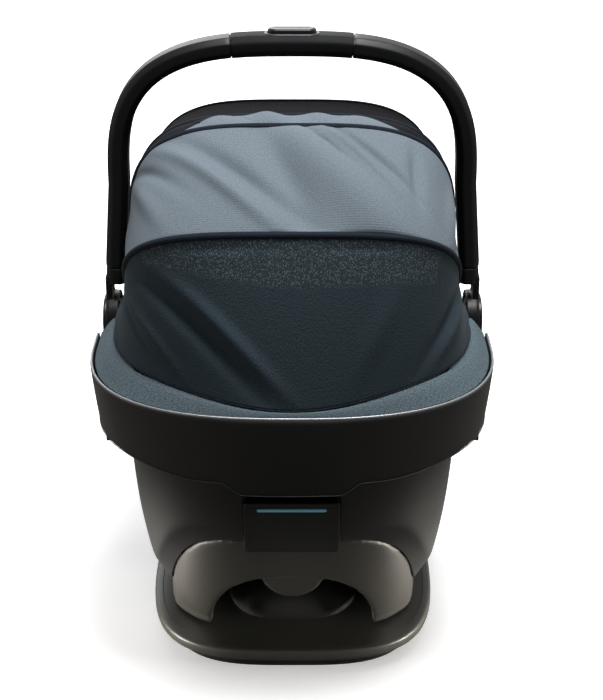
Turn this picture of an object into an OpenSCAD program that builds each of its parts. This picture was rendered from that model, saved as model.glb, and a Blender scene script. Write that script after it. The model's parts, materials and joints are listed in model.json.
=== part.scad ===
// Infant car seat on a low dock: shell, rocker base, swinging handle, folding canopy, harness.
// Millimetres. +Z is up, -Y is the head end, +Y the foot end, the floor is Z = 0.

/* [Seat shell] */
// Height of the shell's rim above the floor
rim_z = 345; // [335:1:360]
// Half of the shell's width at the rim
rim_half_w = 184; // [176:1:188]
// Reach of the rim towards the head end
rim_head = 252; // [244:1:256]
// Reach of the rim towards the foot end
rim_foot = 385; // [370:1:410]
// How much higher the rim stands at the foot end
foot_rise = 40; // [20:1:60]
// Wall of the moulded shell
shell_wall = 4; // [3:0.5:5]
// Height of the skirt's lower edge at the head end
ledge_z = 187; // [180:1:196]
// Height of the skirt's lower edge at the sides
ledge_side_z = 58; // [54:1:66]

/* [Rocker base] */
// Wall of the rocker base, ledge to inside
rocker_wall = 14; // [10:1:16]
// Half-width of the arch between the two legs
arch_half_w = 90; // [80:1:95]
// Height of the arch's crown
arch_z = 119; // [105:1:125]
// Height of the underside of the belly pan
belly_z = 90; // [88:1:94]
// Height of the rubber rail pads
pad_h = 2.7; // [2:0.1:3]

/* [Wing band] */
// Half of the width over the band
band_half_w = 217; // [213:1:222]
// Reach of the band ahead of its centre
band_reach = 181; // [178:1:188]
// Height of the band's lower edge
band_low_z = 267; // [260:1:280]
// Height of the lower edge of the band's centre tab
tab_z = 254; // [252:0.5:256]
// Thickness of the band
band_wall = 3.6; // [3:0.2:4.4]
// Height of the pad between band and canopy at the sides
pad_side_z = 363; // [358:1:366]

/* [Seat liner] */
// Half of the width between the pads at the rim
cavity_half_w = 154; // [145:1:154]
// Thickness of the foam tub
foam_t = 12; // [8:1:12]
// Thickness of the seat pad
seat_pad_t = 10; // [6:1:10]

/* [Handle] */
// Height of the handle's axis above the floor
pivot_z = 335; // [330:1:340]
// Radius of the handle's outer face at its crown
handle_r = 330; // [322:1:342]
// Half of the width over the handle's arch
handle_half_w = 202.5; // [201:0.5:208]
// Thickness of the handle's tube, seen from the back
tube_w = 22.5; // [21:0.5:25]
// Depth of the handle's tube, seen from the side
tube_d = 36; // [30:1:40]
// Half of the length of the grip
grip_half = 65; // [55:1:75]
// Length of the release button
button_l = 52; // [44:1:60]
// Width of the release button
button_w = 18; // [14:1:20]
// Travel of the release button
button_travel = 3; // [2:0.5:4]
// Radius of the hub pin
pin_r = 6; // [5:0.5:7]
// Radius of the hub disc at each foot of the handle
hub_r = 34; // [32:1:36]

/* [Canopy] */
// Radius of the rear bow at its crown
rear_bow_r = 292; // [285:1:296]
// Radius of the middle bow at its crown
mid_bow_r = 274; // [268:1:284]
// Radius of the front bow at its crown
front_bow_r = 256; // [250:1:268]
// Half of the width between the rear bow's legs
rear_bow_half_w = 175; // [170:1:175]
// Angle of the rear bow above the foot-side horizontal
rear_bow_angle = 141; // [138:1:144]
// Angle of the middle bow
mid_bow_angle = 111; // [108:1:114]
// Angle of the front bow
front_bow_angle = 100; // [97:1:102]
// Thickness of the bows' flat bar
bow_t = 3; // [2:0.5:3]
// Width of the bows' flat bar
bow_w = 5; // [4:0.5:5]
// Thickness of the canopy cloth with its lining
cloth_t = 2; // [1.5:0.5:2]
// How far the visor reaches in front of its bow, in degrees
visor_deg = 11; // [8:1:14]

/* [Release lever] */
// Half of the lever panel's width
lever_half_w = 50; // [44:1:52]
// Height of the lever panel
lever_h = 70; // [65:1:71]

/* [Harness] */
// Width of the webbing
web_w = 25; // [22:1:28]
// Thickness of the webbing
web_t = 2; // [1.5:0.5:2.5]
// Half of the distance between the shoulder straps
strap_half = 38; // [36:1:42]

/* [Adapter socket] */
// Radius of the socket for a frame adapter's post
socket_r = 8; // [6:0.5:9]
// Depth of that socket
socket_depth = 28; // [20:1:32]

/* [Dock] */
// Half of the dock tray's width
tray_half_w = 163; // [154:1:172]
// Half of the dock tray's length
tray_half_l = 207; // [197:1:220]
// Height of the tray's top above the floor
tray_z = 32; // [28:1:36]
// Thickness of the tray
tray_t = 13; // [10:0.2:15]
// Height of the rubber feet
foot_h = 3; // [2:0.5:5]

/* [Hidden] */

// Clearances
gap = 0.3;          // between pieces of different bodies, and between a piece and its seat
pin_gap = 0.1;      // radial, between the hub pin and what turns on it
near = 0.05;        // how far a cutter runs past the face that it cuts

// Profile of the shell between the skirt's datum and the rim
datum_z = 45;
side_taper = 30;
head_taper = 75;
foot_taper = 205;
shell_n = 3;
columns = 52;
liner_columns = 40;
dock_columns = 48;
pivot_y = 15;
foot_rise_y = 60;
chamfer = 10;       // how far the skirt's lower edge turns inwards

// Band and wing pad
band_y = -85;
band_end_y = -47;
band_n = 2.55;
band_taper = 7;
band_columns = 36;
inner_gap = 1.8;    // between the shell and what is fastened round it
trim_h = 3;
tab_half_top = 73;
tab_half_low = 48;
band_end_rise = 11;

// The handle swings outside the canopy. Where their widths leave less than this, each gives half
canopy_clear = 3;
side_lack = max(0, rear_bow_half_w + bow_t / 2 + canopy_clear - (handle_half_w - tube_w));
handle_side = handle_half_w + side_lack / 2;
rear_side = rear_bow_half_w - side_lack / 2;

// Hub stack along X, outwards from the shell
boss_x0 = rim_half_w + 0.2;
boss_x1 = boss_x0 + 2;
ring_t = bow_t;
front_ring_x = boss_x1 + gap;
mid_ring_x = front_ring_x + ring_t + gap;
rear_ring_x = mid_ring_x + ring_t + gap;
hub_x0 = rear_ring_x + ring_t + gap;
hub_x1 = max(hub_x0 + 14.6, handle_side + 6);
plate_t = 7;
cap_t = 3.3;
ring_r = 14;
jog_r0 = 26;
jog_r1 = 50;

// Seats that follow from the sizes above
rail_z = tray_z + gap + pad_h;
seam_r = 69;
handle_r0 = 165;
handle_n = 3;
handle_mid = handle_side - tube_w / 2;
crown_r = handle_r - tube_w / 2;
leg_mid = hub_x1 - tube_w / 2 - 1.5;
mid_bow_half_w = rear_side - 2;
front_bow_half_w = rear_side - 4;

// ---------- functions ----------

function mix(a, b, t) = a + (b - a) * t;
function spow(v, p) = (v < 0 ? -1 : 1) * pow(abs(v), p);
function clamp01(t) = min(1, max(0, t));
function smooth(t) = let (c = clamp01(t)) c * c * (3 - 2 * c);
function total(v) = len(v) == 0 ? 0 : [for (x = v) 1] * v;
function reversed(v) = [for (i = [len(v) - 1:-1:0]) v[i]];

// Point at angle a of an outline with half-width b and reaches h (head) and f (foot)
function outline_pt(a, b, h, f, n) =
    [b * spow(cos(a), 2 / n), (sin(a) < 0 ? h : f) * spow(sin(a), 2 / n)];

// Shell: 1 at the rim, 0 at the datum
function depth(z) = clamp01((rim_z - z) / (rim_z - datum_z));
function shell_b(z) = rim_half_w - side_taper * pow(depth(z), 3);
function shell_h(z) = rim_head - head_taper * pow(depth(z), 1.7);
function shell_f(z) = rim_foot - foot_taper * pow(depth(z), 1.5);
function shell_pt(a, z, inset) = let (p = outline_pt(a, shell_b(z) - inset, shell_h(z) - inset,
    shell_f(z) - inset, shell_n)) [p.x, p.y, z];
function column(i, n) = 360 * i / n - 90;
function rim_top(y) = rim_z + foot_rise * smooth((y - foot_rise_y) / (rim_foot - foot_rise_y));
// The skirt's lower edge falls from the two ends towards the sides
function ledge(y) = let (e = y < 0 ? shell_h(ledge_z) : shell_f(ledge_z),
    q = clamp01((abs(y) - 40) / (e - 40))) mix(ledge_side_z, ledge_z, smooth(pow(q, 2.2)));
function ledge_at(a) = ledge(outline_pt(a, 1, shell_h(ledge_z), shell_f(ledge_z), shell_n).y);
function rim_at(a) = rim_top(outline_pt(a, 1, rim_head, rim_foot, shell_n).y);

// Band: angle a runs from one end, round the head, to the other
function band_pt(a, off, n) =
    [(band_half_w - off) * spow(cos(a), 2 / n), band_y + (band_reach - off) * spow(sin(a), 2 / n)];
function band_path(off, n) = concat([[-(band_half_w - off), band_end_y]],
    [for (i = [0:band_columns]) band_pt(-180 + 180 * i / band_columns, off, n)],
    [[band_half_w - off, band_end_y]]);
// Line round the shell's head end at height z, a clearance away from it
function inner_path(z) = let (b = shell_b(z) + inner_gap, h = shell_h(z) + inner_gap,
    a0 = asin(pow(-band_y / h, shell_n / 2)), a1 = asin(pow(-band_end_y / h, shell_n / 2)),
    turn = concat([a1 - 180], [for (i = [0:band_columns]) mix(a0 - 180, -a0, i / band_columns)], [-a1]))
    [for (a = turn) outline_pt(a, b, h, h, shell_n)];
// Lower edge of the band, with the centre tab and a rise towards the ends
function band_low(x) = mix(tab_z, band_low_z, smooth((abs(x) - tab_half_low) / (tab_half_top - tab_half_low)))
    + band_end_rise * smooth((abs(x) - tab_half_top - 20) / 100);

// Cavity of the seat: reclined back, shallow foot end
cavity_z0 = 118;
back_y = 30 - rim_head;
back_slope = 1.08;
calf_y = rim_foot - 30;
calf_slope = 0.9;
cavity_n = 2.8;
cavity_b = min(cavity_half_w, rim_half_w - shell_wall - foam_t - seat_pad_t - 3.5);
function cav_b(z) = cavity_b * pow(clamp01((z - cavity_z0 + 46) / (rim_z - cavity_z0 + 46)), 0.3);
function cav_y0(z) = back_y + (rim_z - z) * back_slope;
function cav_y1(z) = calf_y - (rim_z - z) * calf_slope;
// Ring of the cavity at height z, moved outwards by d
function cav_ring(z, d) = let (c = (cav_y0(z) + cav_y1(z)) / 2, l = (cav_y1(z) - cav_y0(z)) / 2 + 0.75 * d,
    s = clamp01((z - cavity_z0) / (rim_z - cavity_z0)))
    [for (i = [0:liner_columns - 1])
        let (p = outline_pt(column(i, liner_columns), cav_b(z) + d, l, l, cavity_n), y = c + p.y)
        [p.x, y, z - d * (1 - pow(s, 4)) + (rim_top(y) - rim_z) * s * s]];

// Canopy and handle live in planes through the pivot axis: x, radius r, and s across the plane
function in_plane(x, r, s, phi) =
    [x, pivot_y + r * cos(phi) - s * sin(phi), pivot_z + r * sin(phi) + s * cos(phi)];
// Arch from one leg to the other: half-width a, legs up to r0, crown at r1
function arch(a, r0, r1, n, steps) = [for (i = [0:steps]) let (t = -90 + 180 * i / steps)
    [a * spow(sin(t), 2 / n), r0 + (r1 - r0) * pow(abs(cos(t)), 2 / n)]];
function bow_arch(a, r1) = arch(a, bow_r0, r1, bow_n, 22);
function mirrored(side, top) = concat([for (p = side) [-p.x, p.y]], top, reversed(side));
bow_r0 = 100;
bow_n = 3.7;
function bow_path(a, r1, ring_x) = mirrored([[ring_x + ring_t / 2, ring_r - 2],
    [ring_x + ring_t / 2, jog_r0], [a, jog_r1]], bow_arch(a, r1));
// Unit normal of a planar path at point i, pointing outwards
function path_normal(path, i) = let (p = path[max(0, i - 1)], q = path[min(len(path) - 1, i + 1)],
    d = q - p, l = norm(d)) [-d.y / l, d.x / l];
// Rings of a section carried along a path in the plane at angle phi
function swept(path, phi, half_t, half_w, n, sides) = [for (i = [0:len(path) - 1])
    let (m = path_normal(path, i)) [for (k = [0:sides - 1]) let (w = 360 * k / sides + 180 / sides,
        u = half_t * spow(cos(w), 2 / n), s = half_w * spow(sin(w), 2 / n))
        in_plane(path[i].x + m.x * u, path[i].y + m.y * u, s, phi)]];

// ---------- solids from rings and grids ----------

// Six times the volume inside the faces, positive when they turn anticlockwise outside
function volume6(p, faces) = total([for (f = faces) p[f[0]] * cross(p[f[1]], p[f[2]])]);
module solid(p, faces) {
    polyhedron(p, volume6(p, faces) > 0 ? [for (f = faces) reversed(f)] : faces);
}
function band_faces(m, n, join) = [for (j = [0:m - (join ? 1 : 2)]) for (i = [0:n - 1])
    let (k = (j + 1) % m, a = j * n + i, b = j * n + (i + 1) % n, c = k * n + (i + 1) % n, d = k * n + i)
    each [[a, b, c], [a, c, d]]];
// A fan closes the end ring at offset o about an added centre point
function fan(o, n, centre, flip) = [for (i = [0:n - 1]) flip
    ? [o + i, centre, o + (i + 1) % n] : [o + i, o + (i + 1) % n, centre]];
function middle(ring) = total(ring) / len(ring);
module skin(rings, join = false) {
    m = len(rings);
    n = len(rings[0]);
    pts = [for (r = rings) each r];
    if (join) solid(pts, band_faces(m, n, true));
    else solid(concat(pts, [middle(rings[0]), middle(rings[m - 1])]),
        concat(band_faces(m, n, false), fan(0, n, m * n, true), fan((m - 1) * n, n, m * n + 1, false)));
}
// Closed sheet between two grids of equal size, with a strip of faces round its four edges
function grid_faces(o, m, n, flip) = [for (j = [0:m - 2]) for (i = [0:n - 2])
    let (a = o + j * n + i, b = a + 1, c = b + n, d = a + n)
    each (flip ? [[a, c, b], [a, d, c]] : [[a, b, c], [a, c, d]])];
function edge_faces(edge, o) = [for (k = [0:len(edge) - 2]) let (a = edge[k], b = edge[k + 1])
    each [[a, a + o, b + o], [a, b + o, b]]];
module sheet(upper, lower) {
    m = len(upper);
    n = len(upper[0]);
    border = concat([for (i = [0:n - 1]) i], [for (j = [1:m - 1]) j * n + n - 1],
        [for (i = [n - 2:-1:0]) (m - 1) * n + i], [for (j = [m - 2:-1:0]) j * n]);
    solid(concat([for (r = upper) each r], [for (r = lower) each r]),
        concat(grid_faces(0, m, n, false), grid_faces(m * n, m, n, true), edge_faces(border, m * n)));
}
function strip_ring(p, w, t, width, thick) = let (u = w / norm(w), c = cross(t, u), m = c / norm(c))
    [p - u * width / 2 - m * thick / 2, p + u * width / 2 - m * thick / 2,
     p + u * width / 2 + m * thick / 2, p - u * width / 2 + m * thick / 2];
// Flat strip along 3-D points, with its width along w
module strip(path, w, width, thick) {
    skin([for (i = [0:len(path) - 1]) let (t = path[min(len(path) - 1, i + 1)] - path[max(0, i - 1)])
        strip_ring(path[i], w, t, width, thick)]);
}
// Coil spring along +Z
module coil(r, wire, length, turns) {
    steps = turns * 10;
    skin([for (i = [0:steps]) let (a = i * 36, z = wire + (length - 2 * wire) * i / steps)
        [for (k = [0:4]) let (w = k * 72) [(r + wire * cos(w)) * cos(a), (r + wire * cos(w)) * sin(a),
            z + wire * sin(w)]]]);
}
module stadium(l, w, h) {
    linear_extrude(height = h) {
        square([l - w, w], center = true);
        for (s = [-1, 1]) translate([s * (l - w) / 2, 0]) circle(d = w, $fn = 48);
    }
}
module both_sides() {
    children();
    mirror([1, 0, 0]) children();
}
module along_x(x, r, l) {
    translate([x, pivot_y, pivot_z]) rotate([0, 90, 0]) cylinder(r = r, h = l, $fn = 64);
}

// ---------- dock ----------

plinth_inset = 12;
function dock_ring(inset, z) = [for (i = [0:dock_columns - 1])
    let (p = outline_pt(column(i, dock_columns), tray_half_w - inset, tray_half_l - inset,
        tray_half_l - inset, 3.4)) [p.x, p.y, z]];
module dock_tray() {
    z0 = tray_z - tray_t;
    color("#2b2c2e") skin([dock_ring(3, z0), dock_ring(0.6, z0 + 2), dock_ring(0, z0 + 4),
        dock_ring(0, tray_z - 2.5), dock_ring(0.8, tray_z - 0.7), dock_ring(3, tray_z)]);
}
module dock_plinth() {
    color("#232426") difference() {
        skin([dock_ring(plinth_inset + 6, foot_h - 1), dock_ring(plinth_inset + 1, foot_h + 5),
            dock_ring(plinth_inset, tray_z - tray_t)]);
        at_feet() translate([0, 0, -near]) cylinder(r = foot_r + gap, h = foot_h + near, $fn = 48);
    }
}
foot_r = 14;
module at_feet() {
    children();
    for (x = [-1, 1], y = [-1, 1]) translate([x * (tray_half_w - 70), y * (tray_half_l - 80), 0]) children();
}
module dock_feet() {
    color("#1a1a1b") at_feet() cylinder(r = foot_r, h = foot_h, $fn = 48);
}
pedestal_z = belly_z - 6;
pedestal_half_w = 78;
pedestal_y0 = -142;
pedestal_y1 = 118;
bar_r = 4;
bar_z = pedestal_z - 8;
bar_ys = [-70, 60];
jaw_half = 11;
function pedestal_ring(inset, z) =
    let (l = (pedestal_y1 - pedestal_y0) / 2, c = (pedestal_y1 + pedestal_y0) / 2)
    [for (i = [0:39]) let (p = outline_pt(column(i, 40), pedestal_half_w - inset, l - inset, l - inset, 3.2))
        [p.x, p.y + c, z]];
module dock_pedestal() {
    h = pedestal_z - tray_z;
    color("#1d1e20") difference() {
        skin([pedestal_ring(0, tray_z), pedestal_ring(3, tray_z + h * 0.35), pedestal_ring(9, tray_z + h * 0.7),
            pedestal_ring(17, tray_z + h * 0.92), pedestal_ring(30, pedestal_z)]);
        for (y = bar_ys) {
            translate([-jaw_half - 2, y - jaw_half - 2, bar_z - 12])
                cube([2 * jaw_half + 4, 2 * jaw_half + 4, 40]);
            translate([0, y, bar_z]) rotate([0, 90, 0])
                cylinder(r = bar_r + near, h = 96, center = true, $fn = 32);
            translate([-48, y - bar_r - near, bar_z]) cube([96, 2 * (bar_r + near), 30]);
        }
    }
}
module dock_bars() {
    color("#9a9ca0") for (y = bar_ys) translate([0, y, bar_z]) rotate([0, 90, 0])
        cylinder(r = bar_r, h = 95, center = true, $fn = 32);
}

// ---------- seat shell and rocker ----------

wall_y = -shell_h(ledge_z - 9);
wall_tilt = 13.7;
wall_z = ledge_z - 9;
// Frame on the shell's back wall: +Z runs up the wall, -Y points out of it
module on_back_wall() {
    translate([0, wall_y, wall_z]) rotate([wall_tilt, 0, 0]) children();
}
panel_low = -8.5;   // the panel's lower edge, in that frame
panel_top = panel_low + lever_h;
slot_h = 16;
housing_d = 24;
module lower_shell() {
    up = [0.1, 0.35, 0.65, 0.88];
    color("#2e2f31") difference() {
        skin([for (k = [0:len(up) * 2 + 7]) [for (i = [0:columns - 1]) let (a = column(i, columns),
            z0 = ledge_at(a), z1 = rim_at(a), m = len(up))
            k == 0 ? shell_pt(a, z0 - chamfer - 1, chamfer)
            : k == 1 ? shell_pt(a, z0 - 1, 1.5)
            : k == 2 ? shell_pt(a, z0 + 4, 0)
            : k < m + 3 ? shell_pt(a, mix(z0, z1, up[k - 3]), 0)
            : k == m + 3 ? shell_pt(a, z1 - 1, 0)
            : k == m + 4 ? shell_pt(a, z1, shell_wall / 2)
            : k == m + 5 ? shell_pt(a, z1 - 1, shell_wall)
            : k < 2 * m + 6 ? shell_pt(a, mix(z0, z1, up[2 * m + 5 - k]), shell_wall)
            : k == 2 * m + 6 ? shell_pt(a, z0 + 5, shell_wall)
            : shell_pt(a, z0 - chamfer + 1, chamfer + 3)]], join = true);
        on_back_wall() translate([-lever_half_w - 1, -20, -14])
            cube([2 * lever_half_w + 2, 40, panel_top + slot_h + 12.5]);
    }
}
function rocker_top(a) = ledge_at(a) - chamfer - 1 - gap;
function arch_shape(w, z0, z1) = concat([[w, z0 - 5]], [for (i = [0:24]) let (x = w * cos(180 * i / 24))
    [x, z0 + (z1 - z0) * pow(1 - pow(abs(x) / w, 2.6), 1 / 2.2)]], [[-w, z0 - 5]]);
arch_y = 115;       // the arches are cut through the walls beyond this distance from the middle
foot_n = 5.5;        // the rocker's plan is squarer at the rails than at the skirt
foot_flare = 5;
foot_w = 16.5;
function rocker_pt(a, z, inset, n) = let (p = outline_pt(a, shell_b(z) - inset, shell_h(z) - inset,
    shell_f(z) - inset, n)) [p.x, p.y, z];
module rocker_base() {
    inner_z = arch_z + 6;
    color("#333436") {
        difference() {
            skin([for (k = [0:8]) [for (i = [0:columns - 1]) let (a = column(i, columns), zt = rocker_top(a),
                zi = max(zt, inner_z), s = k / 4)
                k < 5 ? rocker_pt(a, mix(rail_z, zt, pow(s, 1.6)), chamfer + 0.5 + foot_flare * pow(1 - s, 2),
                    mix(foot_n, shell_n, s))
                : k == 5 ? shell_pt(a, zt, chamfer + 4.5)
                : k == 6 ? shell_pt(a, zi, chamfer + 4.5)
                : k == 7 ? shell_pt(a, zi, chamfer + rocker_wall)
                : rocker_pt(a, rail_z, chamfer + 0.5 + foot_flare + foot_w, foot_n)]], join = true);
            for (y = [-arch_y, rim_foot]) translate([0, y, 0]) rotate([90, 0, 0])
                linear_extrude(height = rim_foot - arch_y) polygon(arch_shape(arch_half_w, rail_z, arch_z));
        }
        belly_pan();
        belly_lip();
    }
}
module belly_pan() {
    t = 4;
    floor_z = cavity_z0 - (seat_pad_t + foam_t - 6) - gap;
    rings = [[70, belly_z], [50, belly_z + 6], [20, arch_z + 1], [20, arch_z + 1 + t],
        [48, floor_z], [68, floor_z]];
    skin([for (r = rings) [for (i = [0:columns - 1]) let (p = shell_pt(column(i, columns), arch_z, r[0]))
        [p.x, p.y, r[1]]]]);
}
// Rounded lip that hangs below the crown of the arch at the head end
module belly_lip() {
    half = 36;
    sag = arch_z - belly_z;
    r = (half * half + sag * sag) / (2 * sag);
    y0 = -shell_h(arch_z) + chamfer + 6;
    translate([0, y0 + rocker_wall - 4, belly_z + r]) rotate([90, 0, 0]) intersection() {
        cylinder(r = r, h = rocker_wall - 4, $fn = 96);
        translate([-half, -r - near, -near]) cube([2 * half, sag + 4, rocker_wall]);
    }
}
rail_l0 = -110;
rail_l1 = 120;
module rail_pads() {
    x = shell_b(rail_z) - chamfer - foot_flare - foot_w / 2;
    color("#161617") both_sides() translate([x - 4, rail_l0, tray_z + gap]) cube([8, rail_l1 - rail_l0, pad_h]);
}
module latch_jaws() {
    color("#8d8f93") for (y = bar_ys) translate([0, y, 0]) difference() {
        translate([-jaw_half, -jaw_half, bar_z - 8])
            cube([2 * jaw_half, 2 * jaw_half, belly_z - bar_z + 8 - 0.1]);
        translate([-jaw_half - 1, -bar_r - 0.6, bar_z - 10]) cube([2 * jaw_half + 2, 2 * bar_r + 1.2, 10]);
        translate([0, 0, bar_z]) rotate([0, 90, 0]) cylinder(r = bar_r + 0.6, h = 40, center = true, $fn = 32);
    }
}

// ---------- wing band ----------

trim_z = rim_z;
flange_t = 3.5;
function at_z(p, z) = [p.x, p.y, z];
module wing_band() {
    outer = band_path(0, band_n);
    inner = band_path(band_wall, band_n);
    low_out = band_path(band_taper, band_n);
    low_in = band_path(band_taper + band_wall, band_n);
    rows = [for (i = [0:len(outer) - 1]) i];
    z = [for (p = outer) band_low(p.x)];
    flange = [for (i = rows) inner_path(z[i] + flange_t)[i]];
    t = trim_z - 1;
    color("#2c2d2f") sheet(
        [for (i = rows) [at_z(outer[i], t), at_z(low_out[i], z[i]), at_z(flange[i], z[i])]],
        [for (i = rows) [at_z(inner[i], t), at_z(low_in[i], z[i] + flange_t),
            at_z(flange[i], z[i] + flange_t)]]);
}
module band_trim() {
    paths = [band_path(-0.6, band_n), band_path(band_wall + 0.4, band_n)];
    z = trim_z - 1;
    color("#b9bbbf") skin([for (i = [0:len(paths[0]) - 1]) let (o = paths[0][i], n = paths[1][i],
        c = (o + n) / 2)
        [[o.x, o.y, z], [o.x, o.y, z + trim_h * 0.6], [c.x, c.y, z + trim_h],
         [n.x, n.y, z + trim_h * 0.6], [n.x, n.y, z]]]);
}
seam_half_w = 193;
seam_reach = 170;
seam_n = 2.2;
function seam_z(x) = mix(rim_z + 2, pad_side_z, smooth(abs(x) / 150));
function seam_path() = let (b = seam_half_w, h = seam_reach) concat([[-b, band_end_y]],
    [for (i = [0:band_columns]) let (a = -180 + 180 * i / band_columns)
        [b * spow(cos(a), 2 / seam_n), band_y + h * spow(sin(a), 2 / seam_n)]], [[b, band_end_y]]);
module wing_pad() {
    edge = band_path(0, band_n);
    outer = band_path(band_wall + 3, band_n);
    low = band_path(band_taper + band_wall + 2, band_n);
    seam = seam_path();
    inner = inner_path(rim_z);
    color("#4c555d") skin([for (i = [0:len(outer) - 1]) let (z0 = band_low(edge[i].x) + flange_t + gap,
        z = seam_z(seam[i].x), o = outer[i], s = seam[i])
        [at_z(low[i], z0), at_z(o, trim_z - 4), at_z(mix(o, s, 0.15), trim_z - 0.5),
         at_z(s, z), at_z(inner[i], z - 3), at_z(inner_path(z0)[i], z0)]]);
}

// ---------- liner ----------

cover_h = 6;
module rim_cover() {
    rows = [[0.5, 0.3], [2, 3], [8, cover_h], [16, cover_h], [24, 3.5], [27, 0.3]];
    color("#3a424a") skin([for (r = rows) [for (i = [0:columns - 1]) let (a = column(i, columns),
        p = shell_pt(a, rim_z, r[0])) [p.x, p.y, rim_at(a) + r[1]]]], join = true);
}
liner_z = [118, 124, 142, 175, 225, 285, 343];
module foam_tub() {
    d = seat_pad_t + foam_t;
    di = seat_pad_t + gap;
    color("#e6e6e3") skin(concat([for (z = liner_z) cav_ring(z, z < 120 ? d - 6 : d)],
        [for (z = reversed(liner_z)) cav_ring(z, z < 120 ? di - 3 : di)]));
}
module seat_pad() {
    color("#39414a") skin(concat([for (z = liner_z) cav_ring(z, 0)],
        [for (z = reversed(liner_z)) cav_ring(z, z < 120 ? seat_pad_t - 3 : seat_pad_t)]));
}

// ---------- hubs ----------

module hub_bracket() {
    color("#3a3b3d") difference() {
        union() {
            along_x(boss_x0, 26, boss_x1 - boss_x0);
            translate([boss_x0, pivot_y - 20, pivot_z - 38]) cube([boss_x1 - boss_x0, 40, 38]);
        }
        along_x(boss_x0 - 1, pin_r, 10);
    }
}
module hub_bracket_l() { mirror([1, 0, 0]) hub_bracket(); }
module hub_bracket_r() { hub_bracket(); }
module hub_pins() {
    color("#a3a5a9") both_sides() along_x(boss_x0, pin_r, hub_x1 - boss_x0 - 0.4);
}
lock_x = hub_x0 + 0.4;
lock_t = 5;
cup_x = hub_x1 - 3;
module lock_discs() {
    color("#7d7f83") both_sides() difference() {
        union() {
            along_x(lock_x, 21, lock_t);
            translate([lock_x, pivot_y, pivot_z]) for (k = [0:11]) rotate([k * 30, 0, 0])
                translate([0, -2, 19]) cube([lock_t, 4, 5.5]);
        }
        along_x(lock_x - 1, pin_r + near, lock_t + 2);
    }
}
module lock_springs() {
    color("#8a8c90") both_sides() translate([lock_x + lock_t + 0.2, pivot_y, pivot_z]) rotate([0, 90, 0])
        coil(11, 0.8, cup_x - lock_x - lock_t - 0.5, 2);
}
module belt_guide() {
    x0 = boss_x0 - 1.3;
    x1 = band_half_w - band_taper - 0.5;
    z1 = band_low(band_half_w) - 0.4;
    z0 = band_low_z - 44;
    arm = max(x1 - 5, shell_b(z1) + 1);
    color("#242527") translate([0, band_end_y - 25, 0]) {
        translate([x0, 0, z1 - 13.6]) cube([x1 - x0, 22, 13.6]);
        translate([arm, 0, z0]) cube([5, 22, z1 - z0]);
        translate([arm - 4, 0, z0]) cube([5, 22, 5]);
    }
}
module belt_guide_l() { mirror([1, 0, 0]) belt_guide(); }
module belt_guide_r() { belt_guide(); }
socket_x = boss_x0 + socket_r + 4;
socket_top = pivot_z - 44;
module adapter_socket() {
    color("#2a2b2d") translate([socket_x, pivot_y, socket_top - socket_depth - 6]) difference() {
        union() {
            cylinder(r = socket_r + 3.6, h = socket_depth + 6, $fn = 64);
            translate([-socket_r - 3.8, -socket_r - 6, 2]) cube([8, 2 * socket_r + 12, socket_depth + 4]);
        }
        translate([0, 0, -near]) cylinder(r = socket_r, h = socket_depth + near, $fn = 64);
    }
}
module adapter_socket_l() { mirror([1, 0, 0]) adapter_socket(); }
module adapter_socket_r() { adapter_socket(); }

// ---------- release lever ----------

lever_pin_y = 7;
lever_pin_z = 4;
lever_pin_r = 2;
module lever_housing() {
    x = lever_half_w + 0.6;
    low = -4.6;
    h = panel_top + slot_h - 4 - low;
    color("#18191a") on_back_wall() difference() {
        translate([-x, 4.4, low]) cube([2 * x, housing_d, h]);
        translate([-x + 3, 1, low + 2.7]) cube([2 * x - 6, housing_d, h - 5.7]);
        translate([0, lever_pin_y, lever_pin_z]) rotate([0, 90, 0])
            cylinder(r = lever_pin_r + near, h = 3 * x, center = true, $fn = 32);
    }
}
module lever_pin() {
    color("#a3a5a9") on_back_wall() translate([0, lever_pin_y, lever_pin_z]) rotate([0, 90, 0])
        cylinder(r = lever_pin_r, h = 2 * lever_half_w + 1, center = true, $fn = 32);
}
module lever_spring() {
    color("#8a8c90") on_back_wall() translate([0, 1.4 + gap, 34]) rotate([-90, 0, 0])
        coil(5, 0.7, housing_d - 1.2, 4);
}
module lever_outline(w, h, r, low_r) {
    translate([-w, low_r]) square([2 * w, h - r - low_r]);
    translate([low_r - w, 0]) square([2 * (w - low_r), h - r]);
    translate([r - w, 0]) square([2 * (w - r), h]);
    for (s = [-1, 1]) {
        translate([s * (w - r), h - r]) circle(r = r, $fn = 40);
        translate([s * (w - low_r), low_r]) circle(r = low_r, $fn = 24);
    }
}
stripe_z = panel_top - 9.5;
module lever_panel() {
    color("#343537") on_back_wall() {
        difference() {
            translate([0, 1, panel_low]) rotate([90, 0, 0]) linear_extrude(height = 4.2)
                lever_outline(lever_half_w, lever_h, 6, 2.5);
            translate([-36 - 0.2, -3.2 - near, stripe_z - 2.2]) cube([72.4, 1 + near, 4.4]);
        }
        for (s = [-1, 1]) translate([s * 34 - 4, 0, 0]) difference() {
            translate([0, 0.9, lever_pin_z - 4]) cube([8, lever_pin_y + 3, 8]);
            translate([-1, lever_pin_y, lever_pin_z]) rotate([0, 90, 0])
                cylinder(r = lever_pin_r + pin_gap, h = 10, $fn = 32);
        }
    }
}
module lever_stripe() {
    color("#4f9fc6") on_back_wall() translate([-36, -3.4, stripe_z - 2]) cube([72, 1.1, 4]);
}

// ---------- handle ----------

core_step = 3;
seam_r1 = seam_r + 6;
function handle_path() = mirrored([for (r = [seam_r, seam_r1, 118]) [mix(leg_mid, handle_mid,
    max(0, r - seam_r1) / (handle_r0 - seam_r1)), r]], arch(handle_mid, handle_r0, crown_r, handle_n, 28));
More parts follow.
